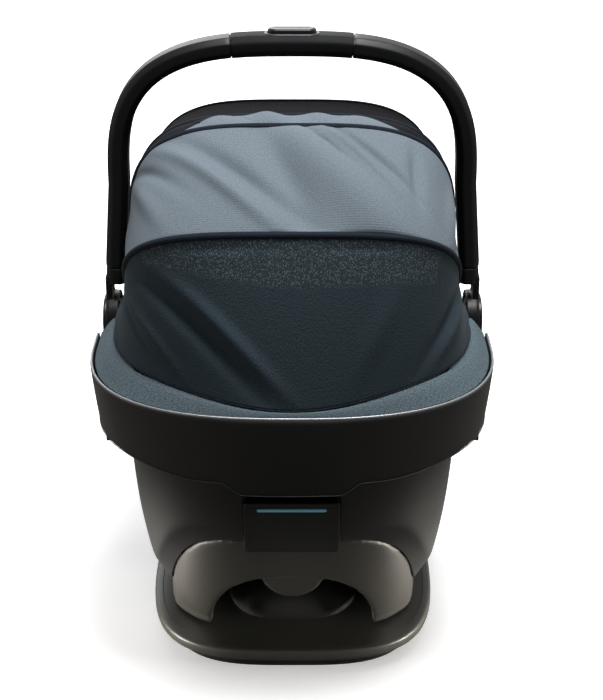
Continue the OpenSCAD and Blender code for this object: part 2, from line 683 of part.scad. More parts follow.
// The tube steps down to a core inside the grip
function core_cut(x) = abs(x) < grip_half ? core_step : 0;
function handle_rings(path, cut) = [for (i = [0:len(path) - 1]) let (m = path_normal(path, i), c = cut)
    [for (k = [0:11]) let (w = 30 * k + 15, u = (tube_w / 2 - c) * spow(cos(w), 2 / 2.8),
        s = (tube_d / 2 - c) * spow(sin(w), 2 / 2.8))
        in_plane(path[i].x + m.x * u, path[i].y + m.y * u, s, 90)]];
// Crown height of the handle's centreline at x
function crown(x) = handle_r0
    + (crown_r - handle_r0) * pow(1 - pow(abs(x) / handle_mid, handle_n), 1 / handle_n);
function crown_path(x0, x1, steps) = [for (i = [0:steps]) let (x = mix(x0, x1, i / steps)) [x, crown(x)]];
module button_pocket(z0, grow) {
    translate([0, pivot_y, z0]) stadium(button_l + 2 * grow, button_w + 2 * grow, 60);
}
button_top = pivot_z + handle_r + 6;
button_low = button_top - 12;
pocket_z = button_low - button_travel - 6;
module handle_arch() {
    full = handle_path();
    side = [for (p = full) if (p.x < -grip_half - 1) p];
    joint = crown_path(-grip_half, -grip_half + 0.01, 1)[0];
    left = concat(side, [joint]);
    color("#3b3c3f") {
        both_sides() skin(handle_rings(left, 0));
        difference() {
            skin(handle_rings(crown_path(-grip_half - 4, grip_half + 4, 12), core_step));
            button_pocket(pocket_z, 0.6);
        }
    }
}
module handle_grip() {
    path = crown_path(-grip_half + gap, grip_half - gap, 12);
    color("#303134") difference() {
        skin(handle_rings(path, -0.6));
        skin(handle_rings(crown_path(-grip_half - 4, grip_half + 4, 12), core_step - 0.2));
        button_pocket(pocket_z, 4.2);
    }
}
module button_bezel() {
    z = pivot_z + handle_r;
    color("#c9cacc") difference() {
        translate([0, pivot_y, z - 3]) stadium(button_l + 8, button_w + 8, 4.2);
        translate([0, 0, -50]) button_pocket(z - 3, 0.6);
    }
}
module grip_button() {
    color("#1c1d1f") translate([0, pivot_y, button_low]) {
        stadium(button_l, button_w, 10.5);
        translate([0, 0, 10.4]) stadium(button_l - 3, button_w - 3, 1.6);
    }
}
module button_spring() {
    color("#8a8c90") translate([0, pivot_y, pocket_z + 0.1]) coil(5, 0.7, button_low - pocket_z - 0.4, 3);
}
notch_r = 52;
module handle_leg() {
    path = [for (r = [notch_r, (notch_r + seam_r) / 2, seam_r - gap]) [-leg_mid, r]];
    color("#37383b") difference() {
        union() {
            mirror([1, 0, 0]) skin(handle_rings(path, 0));
            along_x(hub_x0, hub_r, hub_x1 - hub_x0);
            translate([hub_x1 - plate_t, pivot_y - 15, pivot_z + 10]) cube([plate_t, 30, notch_r - 4]);
        }
        along_x(hub_x0 - 1, hub_r - 6, cup_x - hub_x0 + 1);
        along_x(hub_x0 - 1, pin_r + pin_gap, hub_x1 - hub_x0 + 2);
    }
}
module handle_leg_l() { mirror([1, 0, 0]) handle_leg(); }
module handle_leg_r() { handle_leg(); }
module hub_cap() {
    color("#2c2d30") difference() {
        union() {
            along_x(hub_x1 + near, hub_r - 4, cap_t);
            along_x(hub_x1 + near, hub_r - 10, cap_t + 0.8);
        }
        along_x(hub_x1 + cap_t, hub_r - 16, 3);
    }
}
module hub_cap_l() { mirror([1, 0, 0]) hub_cap(); }
module hub_cap_r() { hub_cap(); }

// ---------- canopy ----------

module bow(a, r1, phi, ring_x) {
    path = bow_path(a, r1, ring_x);
    skin(swept(path, phi, bow_t / 2, bow_w / 2, 2, 6));
    both_sides() difference() {
        along_x(ring_x, ring_r, ring_t);
        along_x(ring_x - 1, pin_r + pin_gap, ring_t + 2);
    }
}
module rear_bow() { color("#17181c") bow(rear_side, rear_bow_r, rear_bow_angle, rear_ring_x); }
module mid_bow() { color("#17181c") bow(mid_bow_half_w, mid_bow_r, mid_bow_angle, mid_ring_x); }
module front_bow() { color("#17181c") bow(front_bow_half_w, front_bow_r, front_bow_angle, front_ring_x); }
cloth_r0 = 58;
cloth_gap = bow_w / 2 + 0.6;
function cloth_line(a, r1) = mirrored([[a, cloth_r0]], bow_arch(a, r1));
function cloth_edge(a, r1, phi, s, off) = let (path = cloth_line(a, r1)) [for (i = [0:len(path) - 1])
    let (m = path_normal(path, i), x = path[i].x + m.x * off, r = path[i].y + m.y * off)
    [x, norm([r, s]), phi + atan2(s, r)]];
function polar(q) = in_plane(q[0], q[1], 0, q[2]);
// Cloth between two bows, moved outwards by off
function cloth_grid(a0, r0, phi0, a1, r1, phi1, off, steps) =
    let (e0 = cloth_edge(a0, r0, phi0, phi0 > phi1 ? -cloth_gap : cloth_gap, off),
        e1 = cloth_edge(a1, r1, phi1, phi0 > phi1 ? cloth_gap : -cloth_gap, off))
    [for (j = [0:steps]) [for (i = [0:len(e0) - 1]) polar(mix(e0[i], e1[i], j / steps))]];
module cloth(a0, r0, phi0, a1, r1, phi1, steps) {
    sheet(cloth_grid(a0, r0, phi0, a1, r1, phi1, cloth_t / 2, steps),
        cloth_grid(a0, r0, phi0, a1, r1, phi1, -cloth_t / 2, steps));
}
module mid_panel() {
    color("#5d6b78") cloth(rear_side, rear_bow_r, rear_bow_angle,
        mid_bow_half_w, mid_bow_r, mid_bow_angle, 4);
}
module front_panel() {
    color("#5a6672") cloth(mid_bow_half_w, mid_bow_r, mid_bow_angle,
        front_bow_half_w, front_bow_r, front_bow_angle, 2);
}
module visor() {
    color("#141518") cloth(front_bow_half_w, front_bow_r, front_bow_angle,
        front_bow_half_w - 11, front_bow_r - 4, front_bow_angle - visor_deg - 3, 2);
}
// Rear panel: from the rear bow down to the seam on the wing pad
function seam_edge(off) = let (b = seam_half_w - 1, h = seam_reach - 1, m = len(cloth_line(1, 1)))
    [for (i = [0:m - 1]) let (a = -180 + 180 * i / (m - 1), x = (b + off) * spow(cos(a), 2 / seam_n))
        [x, band_y + (h + off) * spow(sin(a), 2 / seam_n) + 14 * pow(abs(cos(a)), 8),
         seam_z(x) + 2.5]];
function rear_grid(off) = let (top = [for (q = cloth_edge(rear_side, rear_bow_r, rear_bow_angle,
    cloth_gap, off)) polar(q)], low = seam_edge(off)) [for (j = [0:4]) let (t = j / 4)
        [for (i = [0:len(top) - 1]) mix(top[i], low[i], t) + [0, -10 * sin(180 * t), 0]]];
module rear_panel() {
    color("#232a35") sheet(rear_grid(cloth_t / 2), rear_grid(-cloth_t / 2));
}

// ---------- headrest and harness ----------

// Frame on the reclined back: origin at the rim, +Z up the back, +Y out of the pad
back_tilt = atan(back_slope);
module on_back(s) {
    translate([0, back_y, rim_z]) rotate([back_tilt, 0, 0]) translate([0, 0, -s]) children();
}
headrest_top = 62;
headrest_h = 140;
headrest_half_w = 105;
// Point over the pad's curved back: x across, s down the back, d off the pad
function over_back(x, s, d) = let (z = rim_z - s * cos(back_tilt), c = (cav_y0(z) + cav_y1(z)) / 2,
    l = (cav_y1(z) - cav_y0(z)) / 2)
    [x, c - l * pow(1 - pow(abs(x) / cav_b(z), cavity_n), 1 / cavity_n) + d * cos(back_tilt),
     z + d * sin(back_tilt)];
board_d = 1.8;
board_t = 3;
headrest_s = [for (k = [0, 0.06, 0.25, 0.75, 0.94, 1]) headrest_top + k * headrest_h];
module headrest_board() {
    w = headrest_half_w - 20;
    rows = [headrest_top + 4, headrest_top + headrest_h / 2, headrest_top + headrest_h - 4];
    cols = [for (i = [-5:5]) i * w / 5];
    color("#26282b") sheet([for (s = rows) [for (x = cols) over_back(x, s, board_d + board_t)]],
        [for (s = rows) [for (x = cols) over_back(x, s, board_d)]]);
}
// Front of the headrest at x, as a height off the flat of the back: flat middle, two side wings
bolster = [[-1.02, 48], [-0.9, 58], [-0.74, 40], [-0.5, 27], [0, 21], [0.5, 27], [0.74, 40], [0.9, 58],
    [1.02, 48]];
module headrest_pad() {
    color("#3d464f") sheet(
        [for (s = headrest_s) let (end = abs(2 * (s - headrest_top) / headrest_h - 1), w = headrest_half_w
            - 12 * pow(end, 4)) [for (q = bolster) on_back_pt(w * q[0], s, q[1] - 9 * pow(end, 8))]],
        [for (s = headrest_s) let (w = headrest_half_w - 6) [for (q = bolster)
            over_back(w * q[0] / 1.02, s, board_d + board_t + gap + 0.9)]]);
}
exit_s = headrest_top + headrest_h + 14;
// Points of a shoulder strap on the back, from its slot down to the buckle
function on_back_pt(x, s, d) = [x, back_y + s * sin(back_tilt) + d * cos(back_tilt),
    rim_z - s * cos(back_tilt) + d * sin(back_tilt)];
buckle_y = 62;
buckle_z = 160;
buckle_tilt = 65;
// Point beside the buckle: x across, z towards the shoulders, y up off its face
function buckle_pt(x, y, z) = [x, buckle_y - z * sin(buckle_tilt) + y * cos(buckle_tilt),
    buckle_z + z * cos(buckle_tilt) + y * sin(buckle_tilt)];
module shoulder_straps() {
    color("#202225") both_sides() strip([on_back_pt(strap_half, exit_s, 5),
        on_back_pt(strap_half, exit_s + 2, 13), on_back_pt(strap_half - 2, exit_s + 12, 20),
        on_back_pt(strap_half - 8, exit_s + 44, 30),
        on_back_pt(strap_half - 16, exit_s + 76, 41), buckle_pt(14, -2.8, 27)], [1, 0.14, 0], web_w, web_t);
}
module shoulder_pads() {
    color("#434c56") both_sides() {
        strip([on_back_pt(strap_half - 2, exit_s + 14, 24.6), on_back_pt(strap_half - 8, exit_s + 44, 34),
            on_back_pt(strap_half - 15, exit_s + 72, 43.8)], [1, 0.14, 0], web_w + 9, 5);
    }
}
module crotch_strap() {
    color("#202225") strip([[0, buckle_y + 34, cavity_z0 + 1.5], [0, buckle_y + 33, cavity_z0 + 16],
        buckle_pt(0, -1, -26.6)], [1, 0, 0], web_w + 8, web_t);
}
module at_buckle() {
    translate(buckle_pt(0, 0, 0)) rotate([buckle_tilt, 0, 0]) children();
}
module buckle_body() {
    color("#1b1c1e") at_buckle() difference() {
        translate([0, 6, 0]) rotate([90, 0, 0]) linear_extrude(height = 14) union() {
            translate([-23, -26]) square([46, 40]);
            translate([-17, -26]) square([34, 44]);
        }
        translate([-15 - gap, 6 + near - 5, -15 - gap]) cube([30 + 2 * gap, 5, 18 + 2 * gap]);
        for (s = [-1, 1]) translate([s * 13 - 9.5, -4.6, 6]) cube([19, 3.6, 20]);
    }
}
module buckle_button() {
    color("#b3262a") at_buckle() translate([-15, 1.8 + 1.6, -15]) cube([30, 4.2, 18]);
}
module buckle_tongues() {
    color("#9c9ea2") at_buckle() for (s = [-1, 1]) translate([s * 13 - 8.5, -4, 8]) cube([17, 2.4, 18]);
}
module lap_straps() {
    color("#202225") both_sides() strip([[101, 44, 152], [86, 46, 158], [60, 46, 162],
        buckle_pt(23.6, -2.8, 12)], [0, sin(buckle_tilt), -cos(buckle_tilt)], web_w, web_t);
}
// Point of the pad's foot-end slope in the middle plane, and a frame on it that faces the hollow
function calf_pt(z) = let (y = cav_y1(z), s = (z - cavity_z0) / (rim_z - cavity_z0))
    [y, z + (rim_top(y) - rim_z) * s * s];
adjust_z = 243;
calf_run = calf_pt(adjust_z + 14) - calf_pt(adjust_z - 14);
calf_tilt = atan2(calf_run.x, calf_run.y);
module on_calf() {
    translate([0, calf_pt(adjust_z).x, calf_pt(adjust_z).y]) rotate([0, 0, 180]) rotate([calf_tilt, 0, 0])
        children();
}
module adjuster_housing() {
    color("#1e1f22") on_calf() difference() {
        translate([-22, 2, -20]) cube([44, 12, 40]);
        translate([-16, 4.9, -14]) cube([32, 12, 28]);
        translate([-14, 1, -22]) cube([28, 4.2, 44]);
        translate([0, 9, 8]) rotate([0, 90, 0]) cylinder(r = 2 + near, h = 60, center = true, $fn = 32);
    }
}
module adjuster_lever() {
    color("#6d7075") on_calf() {
        translate([0, 9, 8]) rotate([0, 90, 0]) cylinder(r = 2 - near, h = 44, center = true, $fn = 32);
        translate([-15, 10, -12]) cube([30, 3, 20]);
        translate([-15, 6.8, 6]) cube([30, 5, 4]);
    }
}
module adjuster_strap() {
    color("#202225") on_calf() strip([[0, 3.8, 12], [0, 3.8, -22], [0, 5, -34], [0, 8, -50],
        [0, 12, -76]], [1, 0, 0], web_w, web_t);
}

dock_tray();
dock_plinth();
dock_feet();
dock_pedestal();
dock_bars();
lower_shell();
rocker_base();
rail_pads();
latch_jaws();
wing_band();
band_trim();
wing_pad();
rim_cover();
foam_tub();
seat_pad();
hub_bracket_l();
hub_bracket_r();
hub_pins();
lock_discs();
lock_springs();
belt_guide_l();
belt_guide_r();
adapter_socket_l();
adapter_socket_r();
lever_housing();
lever_pin();
lever_spring();
lever_panel();
lever_stripe();
handle_arch();
handle_leg_l();
handle_leg_r();
handle_grip();
button_bezel();
button_spring();
grip_button();
hub_cap_l();
hub_cap_r();
rear_bow();
rear_panel();
mid_bow();
mid_panel();
front_bow();
front_panel();
visor();
headrest_board();
headrest_pad();
crotch_strap();
buckle_body();
buckle_button();
buckle_tongues();
shoulder_straps();
shoulder_pads();
lap_straps();
adjuster_housing();
adjuster_lever();
adjuster_strap();
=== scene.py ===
"""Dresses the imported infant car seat: moulded skins, sewn canopy, padded liner, webbing, stand and stage."""

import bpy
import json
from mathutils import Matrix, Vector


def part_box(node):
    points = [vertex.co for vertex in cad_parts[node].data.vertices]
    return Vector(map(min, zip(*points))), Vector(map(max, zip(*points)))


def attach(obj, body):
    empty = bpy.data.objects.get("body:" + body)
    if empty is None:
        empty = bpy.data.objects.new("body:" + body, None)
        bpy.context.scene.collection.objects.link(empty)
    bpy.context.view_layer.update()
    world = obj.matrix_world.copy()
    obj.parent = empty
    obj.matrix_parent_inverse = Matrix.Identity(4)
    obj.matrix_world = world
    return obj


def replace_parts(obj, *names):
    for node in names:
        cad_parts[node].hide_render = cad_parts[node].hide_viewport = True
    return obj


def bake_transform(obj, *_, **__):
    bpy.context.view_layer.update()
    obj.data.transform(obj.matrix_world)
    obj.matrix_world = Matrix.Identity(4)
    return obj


bl_info = {
    "name": "Infant Car Seat Dresser",
    "version": (1, 0, 0),
    "blender": (4, 5, 0),
    "location": "View3D > Sidebar > Car Seat",
    "description": "Makes the skins, cloth, straps and finishes of an infant car seat on its frame",
    "category": "Object",
}

import json
import math

import bpy
import numpy as np
from bpy.props import FloatProperty, PointerProperty, StringProperty
from mathutils import Matrix, Vector

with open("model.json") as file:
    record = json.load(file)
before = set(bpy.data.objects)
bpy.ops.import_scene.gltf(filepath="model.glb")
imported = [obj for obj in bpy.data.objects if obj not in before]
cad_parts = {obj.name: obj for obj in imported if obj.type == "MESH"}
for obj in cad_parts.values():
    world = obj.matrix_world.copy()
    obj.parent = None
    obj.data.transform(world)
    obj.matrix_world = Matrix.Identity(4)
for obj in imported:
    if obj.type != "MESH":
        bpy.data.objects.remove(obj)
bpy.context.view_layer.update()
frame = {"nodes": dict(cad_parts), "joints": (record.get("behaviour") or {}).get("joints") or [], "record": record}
MM = 0.001


# ---------- sizes that follow from the frame, in millimetres ----------

def joint(name):
    """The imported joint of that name."""
    return next(j for j in frame["joints"] if j["name"] == name)


def low(node):
    """Lowest corner of a CAD node."""
    return np.array(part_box(node)[0]) / MM


def high(node):
    """Highest corner of a CAD node."""
    return np.array(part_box(node)[1]) / MM


PIVOT = np.array(joint("handle_swing")["pos_m"]) / MM
RIM_Z, DATUM_Z, LEDGE_Z, LEDGE_SIDE_Z = 345.0, 45.0, 187.0, 58.0
RIM_HALF, RIM_HEAD, RIM_FOOT, FOOT_RISE = 184.0, 252.0, 385.0, 40.0
SHELL_N, CHAMFER, SHELL_WALL = 3.0, 10.0, 4.0
BAND_HALF, BAND_Y, BAND_REACH, BAND_N, BAND_END_Y = 217.0, -85.0, 181.0, 2.55, -47.0
BAND_LOW, TAB_LOW, TAB_IN, TAB_OUT, BAND_TAPER, BAND_WALL = 267.0, 254.0, 48.0, 73.0, 7.0, 3.6
BAND_TOP, BAND_FOOT = 344.0, 262.0
SEAM_HALF, SEAM_REACH, SEAM_N, SEAM_SIDE_Z = 193.0, 170.0, 2.2, 363.0
BOWS = {"rear": (175.0, 292.0, 141.0), "mid": (173.0, 274.0, 111.0), "front": (171.0, 256.0, 100.0)}
VISOR_DEG = 14.0
BOW_R0, BOW_N, CLOTH_R0, BOW_GAP = 100.0, 3.7, 58.0, 2.2
HANDLE_R0, HANDLE_N, GRIP_HALF, SEAM_R, NOTCH_R = 165.0, 3.0, 65.0, 69.0, 52.0
TUBE_W, TUBE_D, TUBE_CUT, HANDLE_MID, LEG_MID, CROWN_R = 22.5, 36.0, 6.2, 191.25, 198.25, 318.75
CAVITY_Z0, CAVITY_HALF, CAVITY_N = 118.0, 154.0, 2.8
BACK_Y, BACK_SLOPE, CALF_Y, CALF_SLOPE = -222.0, 1.08, 355.0, 0.9
WALL_Y, WALL_Z, WALL_TILT = -224.294, 178.0, math.radians(13.7)
LEVER_HALF, LEVER_LOW, LEVER_TOP, STRIPE_Z, STRIPE_HALF = 50.0, -8.5, 61.5, 52.0, 36.0
ARCH_HALF, ARCH_Z, RAIL_Z = 90.0, 119.0, 35.0
HUB_X0, HUB_X1, HUB_R = 196.4, 211.0, 34.0
BUTTON_L, BUTTON_W = 52.0, 18.0
BUTTON_TRAVEL = max(np.abs(joint("grip_press")["range_m"])) / MM
TRAY_HALF_W, TRAY_HALF_L, TRAY_Z, TRAY_T, PLINTH_IN = 163.0, 207.0, 32.0, 13.0, 12.0
TRAY_N, TRAY_STEP, FOOT_PAD_HALF = 3.4, 0.7, 14.5
PEDESTAL_HALF, PEDESTAL_Y, PEDESTAL_N, BAR_Y = 78, (-142, 118), 3.2, (-70, 60)


# How a surface closes: round each row like a tube, or along its rows too like a ring.
TUBE, RING = (False, True), (True, True)
# Points along a line round the seat, points along a strap, and sides of a hub's disc.
WIDE, FINE, BEND, DISC_SIDES = 241, 321, 90, 120


# ---------- formulas ----------

def spow(v, p):
    """Power that keeps the sign."""
    return np.sign(v) * np.abs(v) ** p


def smooth(t):
    """Smooth step: 0 below 0, 1 above 1, and 3t^2 - 2t^3 between."""
    t = np.clip(t, 0, 1)
    return t * t * (3 - 2 * t)


def mix(a, b, t):
    """Straight blend from a to b."""
    return a + (b - a) * t


def hump(t, centre, width):
    """Bell curve of height 1: e to the minus squared distance over width."""
    return np.exp(-((t - centre) / width) ** 2)


def outline(a, b, h, f, n):
    """Superellipse with half-width b and reaches h (head end) and f (foot end): signed powers of cosine and
    sine."""
    return b * spow(np.cos(a), 2 / n), np.where(np.sin(a) < 0, h, f) * spow(np.sin(a), 2 / n)


def even(points, count, closed=False):
    """Places along a polyline at equal steps of its length, as fractional indices."""
    ring = np.vstack([points, points[:1]]) if closed else points
    run = np.concatenate([[0], np.cumsum(np.linalg.norm(np.diff(ring, axis=0), axis=1))])
    at = np.linspace(0, run[-1], count + (1 if closed else 0))[: count]
    return np.interp(at, run, np.arange(len(run)))


def spaced(points, count):
    """The polyline again, as `count` points at equal steps of its length."""
    at = even(points, count)
    return np.stack([np.interp(at, np.arange(len(points)), column) for column in points.T], -1)


def shell_sizes(z):
    """Half-width, head reach and foot reach at height z: each falls from the rim by a power of the depth."""
    d = np.clip((RIM_Z - z) / (RIM_Z - DATUM_Z), 0, 1)
    return RIM_HALF - 30 * d ** 3, RIM_HEAD - 75 * d ** 1.7, RIM_FOOT - 205 * d ** 1.5


def shell_point(a, z, inset, n=SHELL_N):
    """Point of the shell's plan at angle a and height z, moved inwards by inset; n is the outline's power."""
    a, z, inset = np.broadcast_arrays(a, z, inset)
    b, h, f = shell_sizes(z)
    x, y = outline(a, b - inset, h - inset, f - inset, n)
    return np.stack([x, y, z], -1)


def ledge(a):
    """Lower edge of the skirt: level at the two ends, then a smooth step down towards the sides."""
    _, h, f = shell_sizes(np.float64(LEDGE_Z))
    y = outline(a, 1.0, h, f, SHELL_N)[1]
    q = np.clip((np.abs(y) - 40) / (np.where(y < 0, h, f) - 40), 0, 1)
    return mix(LEDGE_SIDE_Z, LEDGE_Z, smooth(q ** 2.2))


def rim_top(y):
    """Height of the rim: a smooth step up towards the foot end."""
    return RIM_Z + FOOT_RISE * smooth((y - 60) / (RIM_FOOT - 60))


def rim_at(a):
    """Height of the rim at angle a of the shell's plan."""
    return rim_top(outline(a, 1.0, RIM_HEAD, RIM_FOOT, SHELL_N)[1])


def shell_angles(count):
    """Angles whose points are evenly spaced round the shell's rim, from the middle of the head end."""
    a = np.linspace(-math.pi / 2, 1.5 * math.pi, 4001)[:-1]
    pts = np.stack(outline(a, RIM_HALF, RIM_HEAD, RIM_FOOT, SHELL_N), -1)
    return np.interp(even(pts, count, True), np.arange(4001), np.append(a, 1.5 * math.pi))


def band_line(off, count, half=BAND_HALF, reach=BAND_REACH, n=BAND_N):
    """Plan of the band, moved inwards by off: a short straight at each end and a superellipse round the
    head."""
    a = np.linspace(-math.pi, 0, 2001)
    x = (half - off) * spow(np.cos(a), 2 / n)
    y = BAND_Y + (reach - off) * spow(np.sin(a), 2 / n)
    pts = np.vstack([[[-(half - off), BAND_END_Y]], np.stack([x, y], -1), [[half - off, BAND_END_Y]]])
    return spaced(pts, count)


def band_low(x):
    """Lower edge of the band, with its tab at the head end and a rise of 11 mm towards the band's ends."""
    return (mix(TAB_LOW, BAND_LOW, smooth((np.abs(x) - TAB_IN) / (TAB_OUT - TAB_IN)))
            + 11 * smooth((np.abs(x) - TAB_OUT - 20) / 100))


def seam_height(x):
    """Height of the canopy's seam on the wing pad, lowest at the middle of the head end."""
    return mix(RIM_Z + 2, SEAM_SIDE_Z, smooth(np.abs(x) / 150))


def in_plane(x, r, s, phi):
    """Place in the plane at angle phi degrees through the hub axis: r along the plane, s across it."""
    p = np.radians(phi)
    x, r, s, p = np.broadcast_arrays(x, r, s, p)
    return np.stack([x, PIVOT[1] + r * np.cos(p) - s * np.sin(p), PIVOT[2] + r * np.sin(p) + s * np.cos(p)], -1)


def bow_line(half, crown, count):
    """Arch of a bow, evenly spaced: straight legs, then a superellipse from r0 to the crown."""
    t = np.linspace(-math.pi / 2, math.pi / 2, 1601)
    x = half * spow(np.sin(t), 2 / BOW_N)
    r = BOW_R0 + (crown - BOW_R0) * np.abs(np.cos(t)) ** (2 / BOW_N)
    pts = np.vstack([[[-half, CLOTH_R0]], np.stack([x, r], -1), [[half, CLOTH_R0]]])
    return spaced(pts, count)


def outward(line):
    """Unit normal of a plan line, to the left of its run turned outwards for a line that goes -X to +X."""
    d = np.gradient(line, axis=0)
    return np.stack([-d[:, 1], d[:, 0]], -1) / np.linalg.norm(d, axis=1)[:, None]


def cavity_ring(a, z, d):
    """Ring of the seat's hollow at height z, moved outwards by d: a superellipse between the back and the calf
    slope."""
    a, z, d = np.broadcast_arrays(a, z, d)
    half = CAVITY_HALF * np.clip((z - CAVITY_Z0 + 46) / (RIM_Z - CAVITY_Z0 + 46), 0, 1) ** 0.3 + d
    y0, y1 = BACK_Y + (RIM_Z - z) * BACK_SLOPE, CALF_Y - (RIM_Z - z) * CALF_SLOPE
    length = (y1 - y0) / 2 + 0.75 * d
    s = np.clip((z - CAVITY_Z0) / (RIM_Z - CAVITY_Z0), 0, 1)
    x, y = outline(a, half, length, length, CAVITY_N)
    y = y + (y0 + y1) / 2
    return np.stack([x, y, z - d * (1 - s ** 4) + (rim_top(y) - RIM_Z) * s * s], -1)


def tilted(y0, z0, angle, turn=1):
    """Placing of a frame on a tilted face; turn -1 faces it the other way along Y."""
    c, s = math.cos(angle), math.sin(angle)

    def place(p):
        return np.stack([turn * p[..., 0], y0 + turn * (p[..., 1] * c - p[..., 2] * s),
                         z0 + p[..., 1] * s + p[..., 2] * c], -1)
    return place


ON_WALL = tilted(WALL_Y, WALL_Z, WALL_TILT)


# ---------- meshes ----------

def new_piece(name, points, faces, uv, crease):
    """A mesh object at the origin from points in millimetres; uv holds a pair for each face corner, in
    metres."""
    mesh = bpy.data.meshes.new(name)
    mesh.from_pydata(np.asarray(points, float).reshape(-1, 3) * MM, [], faces)
    mesh.uv_layers.new(name="cut").data.foreach_set("uv", uv.astype(np.float32).ravel())
    piece = bpy.data.objects.new(name, mesh)
    bpy.context.scene.collection.objects.link(piece)
    mesh.shade_smooth()
    mesh.set_sharp_from_angle(angle=math.radians(crease))
    return piece


def face_out(piece, centre):
    """Turns the faces outwards: by the sign of the volume, or away from a point for an open sheet."""
    mesh = piece.data
    count = len(mesh.polygons)
    normal, middle, area = np.empty(count * 3), np.empty(count * 3), np.empty(count)
    mesh.polygons.foreach_get("normal", normal)
    mesh.polygons.foreach_get("center", middle)
    mesh.polygons.foreach_get("area", area)
    away = middle.reshape(-1, 3) - (np.zeros(3) if centre is None else np.asarray(centre) * MM)
    if (np.einsum("ij,ij->i", normal.reshape(-1, 3), away) * area).sum() < 0:
        mesh.flip_normals()
    return piece


def surface(name, grid, wrap=(False, False), caps=False, centre=None, crease=40):
    """Quads over a grid of points (rows, columns). wrap joins the last row or column to the first, and caps
    closes the first and last rows of a tube with a fan. The cut map holds lengths along rows and columns."""
    m, n = grid.shape[:2]
    i, j = np.arange(m if wrap[0] else m - 1)[:, None], np.arange(n if wrap[1] else n - 1)[None, :]
    i1, j1 = (i + 1) % m, (j + 1) % n
    quads = np.stack([i * n + j, i * n + j1, i1 * n + j1, i1 * n + j], -1).reshape(-1, 4)
    du = np.linalg.norm(np.roll(grid, -1, 1) - grid, axis=2).max(0) * MM
    dv = np.linalg.norm(np.roll(grid, -1, 0) - grid, axis=2).mean(1) * MM
    u, v = np.concatenate([[0], np.cumsum(du)]), np.concatenate([[0], np.cumsum(dv)])
    corners = ((0, 0), (1, 0), (1, 1), (0, 1))
    uv = np.stack([np.stack([u[j + dj] + 0 * i, v[i + di] + 0 * j], -1) for dj, di in corners], 2)
    points, faces, uv = grid.reshape(-1, 3), quads.tolist(), uv.reshape(-1, 2)
    if caps:
        k = np.arange(n)
        points = np.vstack([points, grid[0].mean(0), grid[-1].mean(0)])
        first = np.stack([(k + 1) % n, k, np.full(n, m * n)], -1)
        last = np.stack([(m - 1) * n + k, (m - 1) * n + (k + 1) % n, np.full(n, m * n + 1)], -1)
        faces += first.tolist() + last.tolist()
        uv = np.vstack([uv, np.zeros((6 * n, 2))])
    piece = new_piece(name, points, faces, uv, crease)
    return face_out(piece, centre)


def settle(piece):
    """Applies every modifier of a piece to its mesh."""
    graph = bpy.context.evaluated_depsgraph_get()
    graph.update()
    mesh = bpy.data.meshes.new_from_object(piece.evaluated_get(graph), preserve_all_data_layers=True,
                                           depsgraph=graph)
    piece.modifiers.clear()
    old, piece.data = piece.data, mesh
    mesh.name = piece.name
    bpy.data.meshes.remove(old)
    return piece


def thicken(piece, thickness, offset):
    """Gives an open sheet its thickness in millimetres; offset 1 grows it outwards and -1 inwards."""
    solid = piece.modifiers.new("thickness", "SOLIDIFY")
    solid.thickness, solid.offset = thickness * MM, offset
    return settle(piece)


def cut_away(piece, cutter):
    """Takes the cutter's volume out of the piece."""
    cut = piece.modifiers.new("cut", "BOOLEAN")
    cut.operation, cut.object, cut.solver = "DIFFERENCE", cutter, "EXACT"
    settle(piece)
    bpy.data.objects.remove(cutter)
    return piece


def carried(name, path, section, up, crease=40):
    """A closed section carried along a path in space: each ring lies across the path, its first axis along
    `up` made square to the run. section is (rings or 1, sides, 2) in millimetres."""
    run = np.gradient(path, axis=0)
    run /= np.linalg.norm(run, axis=1)[:, None]
    up = np.broadcast_to(np.asarray(up, float), path.shape)
    side = up - run * np.einsum("ij,ij->i", up, run)[:, None]
    side /= np.linalg.norm(side, axis=1)[:, None]
    other = np.cross(run, side)
    section = np.broadcast_to(section, (len(path),) + section.shape[-2:])
    grid = path[:, None] + side[:, None] * section[..., :1] + other[:, None] * section[..., 1:]
    return surface(name, grid, TUBE, True, crease=crease)


def oval(half_u, half_v, n, sides):
    """Superellipse section with those half sizes."""
    w = np.linspace(0, 2 * math.pi, sides, endpoint=False)
    return np.stack([half_u * spow(np.cos(w), 2 / n), half_v * spow(np.sin(w), 2 / n)], -1)


def chamfered(half_u, half_v, cut, radius):
    """Rectangle with its corners cut off at 45 degrees and each of the eight edges rounded."""
    u, v = half_u, half_v
    p, q = u - cut, v - cut
    pts = np.array([[u, -q], [u, q], [p, v], [-p, v], [-u, q], [-u, -q], [-p, -v], [p, -v]])
    back, ahead = np.roll(pts, 1, 0) - pts, np.roll(pts, -1, 0) - pts
    back /= np.linalg.norm(back, axis=1)[:, None]
    ahead /= np.linalg.norm(ahead, axis=1)[:, None]
    t = np.linspace(0, 1, 4)[None, :, None]
    p0, p2 = pts + back * radius, pts + ahead * radius
    return ((1 - t) ** 2 * p0[:, None] + 2 * t * (1 - t) * pts[:, None] + t ** 2 * p2[:, None]).reshape(-1, 2)


def turned(name, profile, closed=False):
    """Profile of (along X, radius) pairs turned about the hub axis; closed joins its last point to the
    first."""
    w = np.linspace(0, 2 * math.pi, DISC_SIDES, endpoint=False)[None, :]
    along, r = profile[:, :1], profile[:, 1:]
    grid = np.stack([along + 0 * w, PIVOT[1] + r * np.cos(w), PIVOT[2] + r * np.sin(w)], -1)
    return surface(name, grid, (closed, True), not closed, crease=35)


# ---------- finishes ----------

def linear(text):
    """Linear colour from an sRGB hex value."""
    c = np.array([int(text[k:k + 2], 16) for k in (1, 3, 5)]) / 255
    return (*np.where(c <= 0.04045, c / 12.92, ((c + 0.055) / 1.055) ** 2.4).tolist(), 1.0)


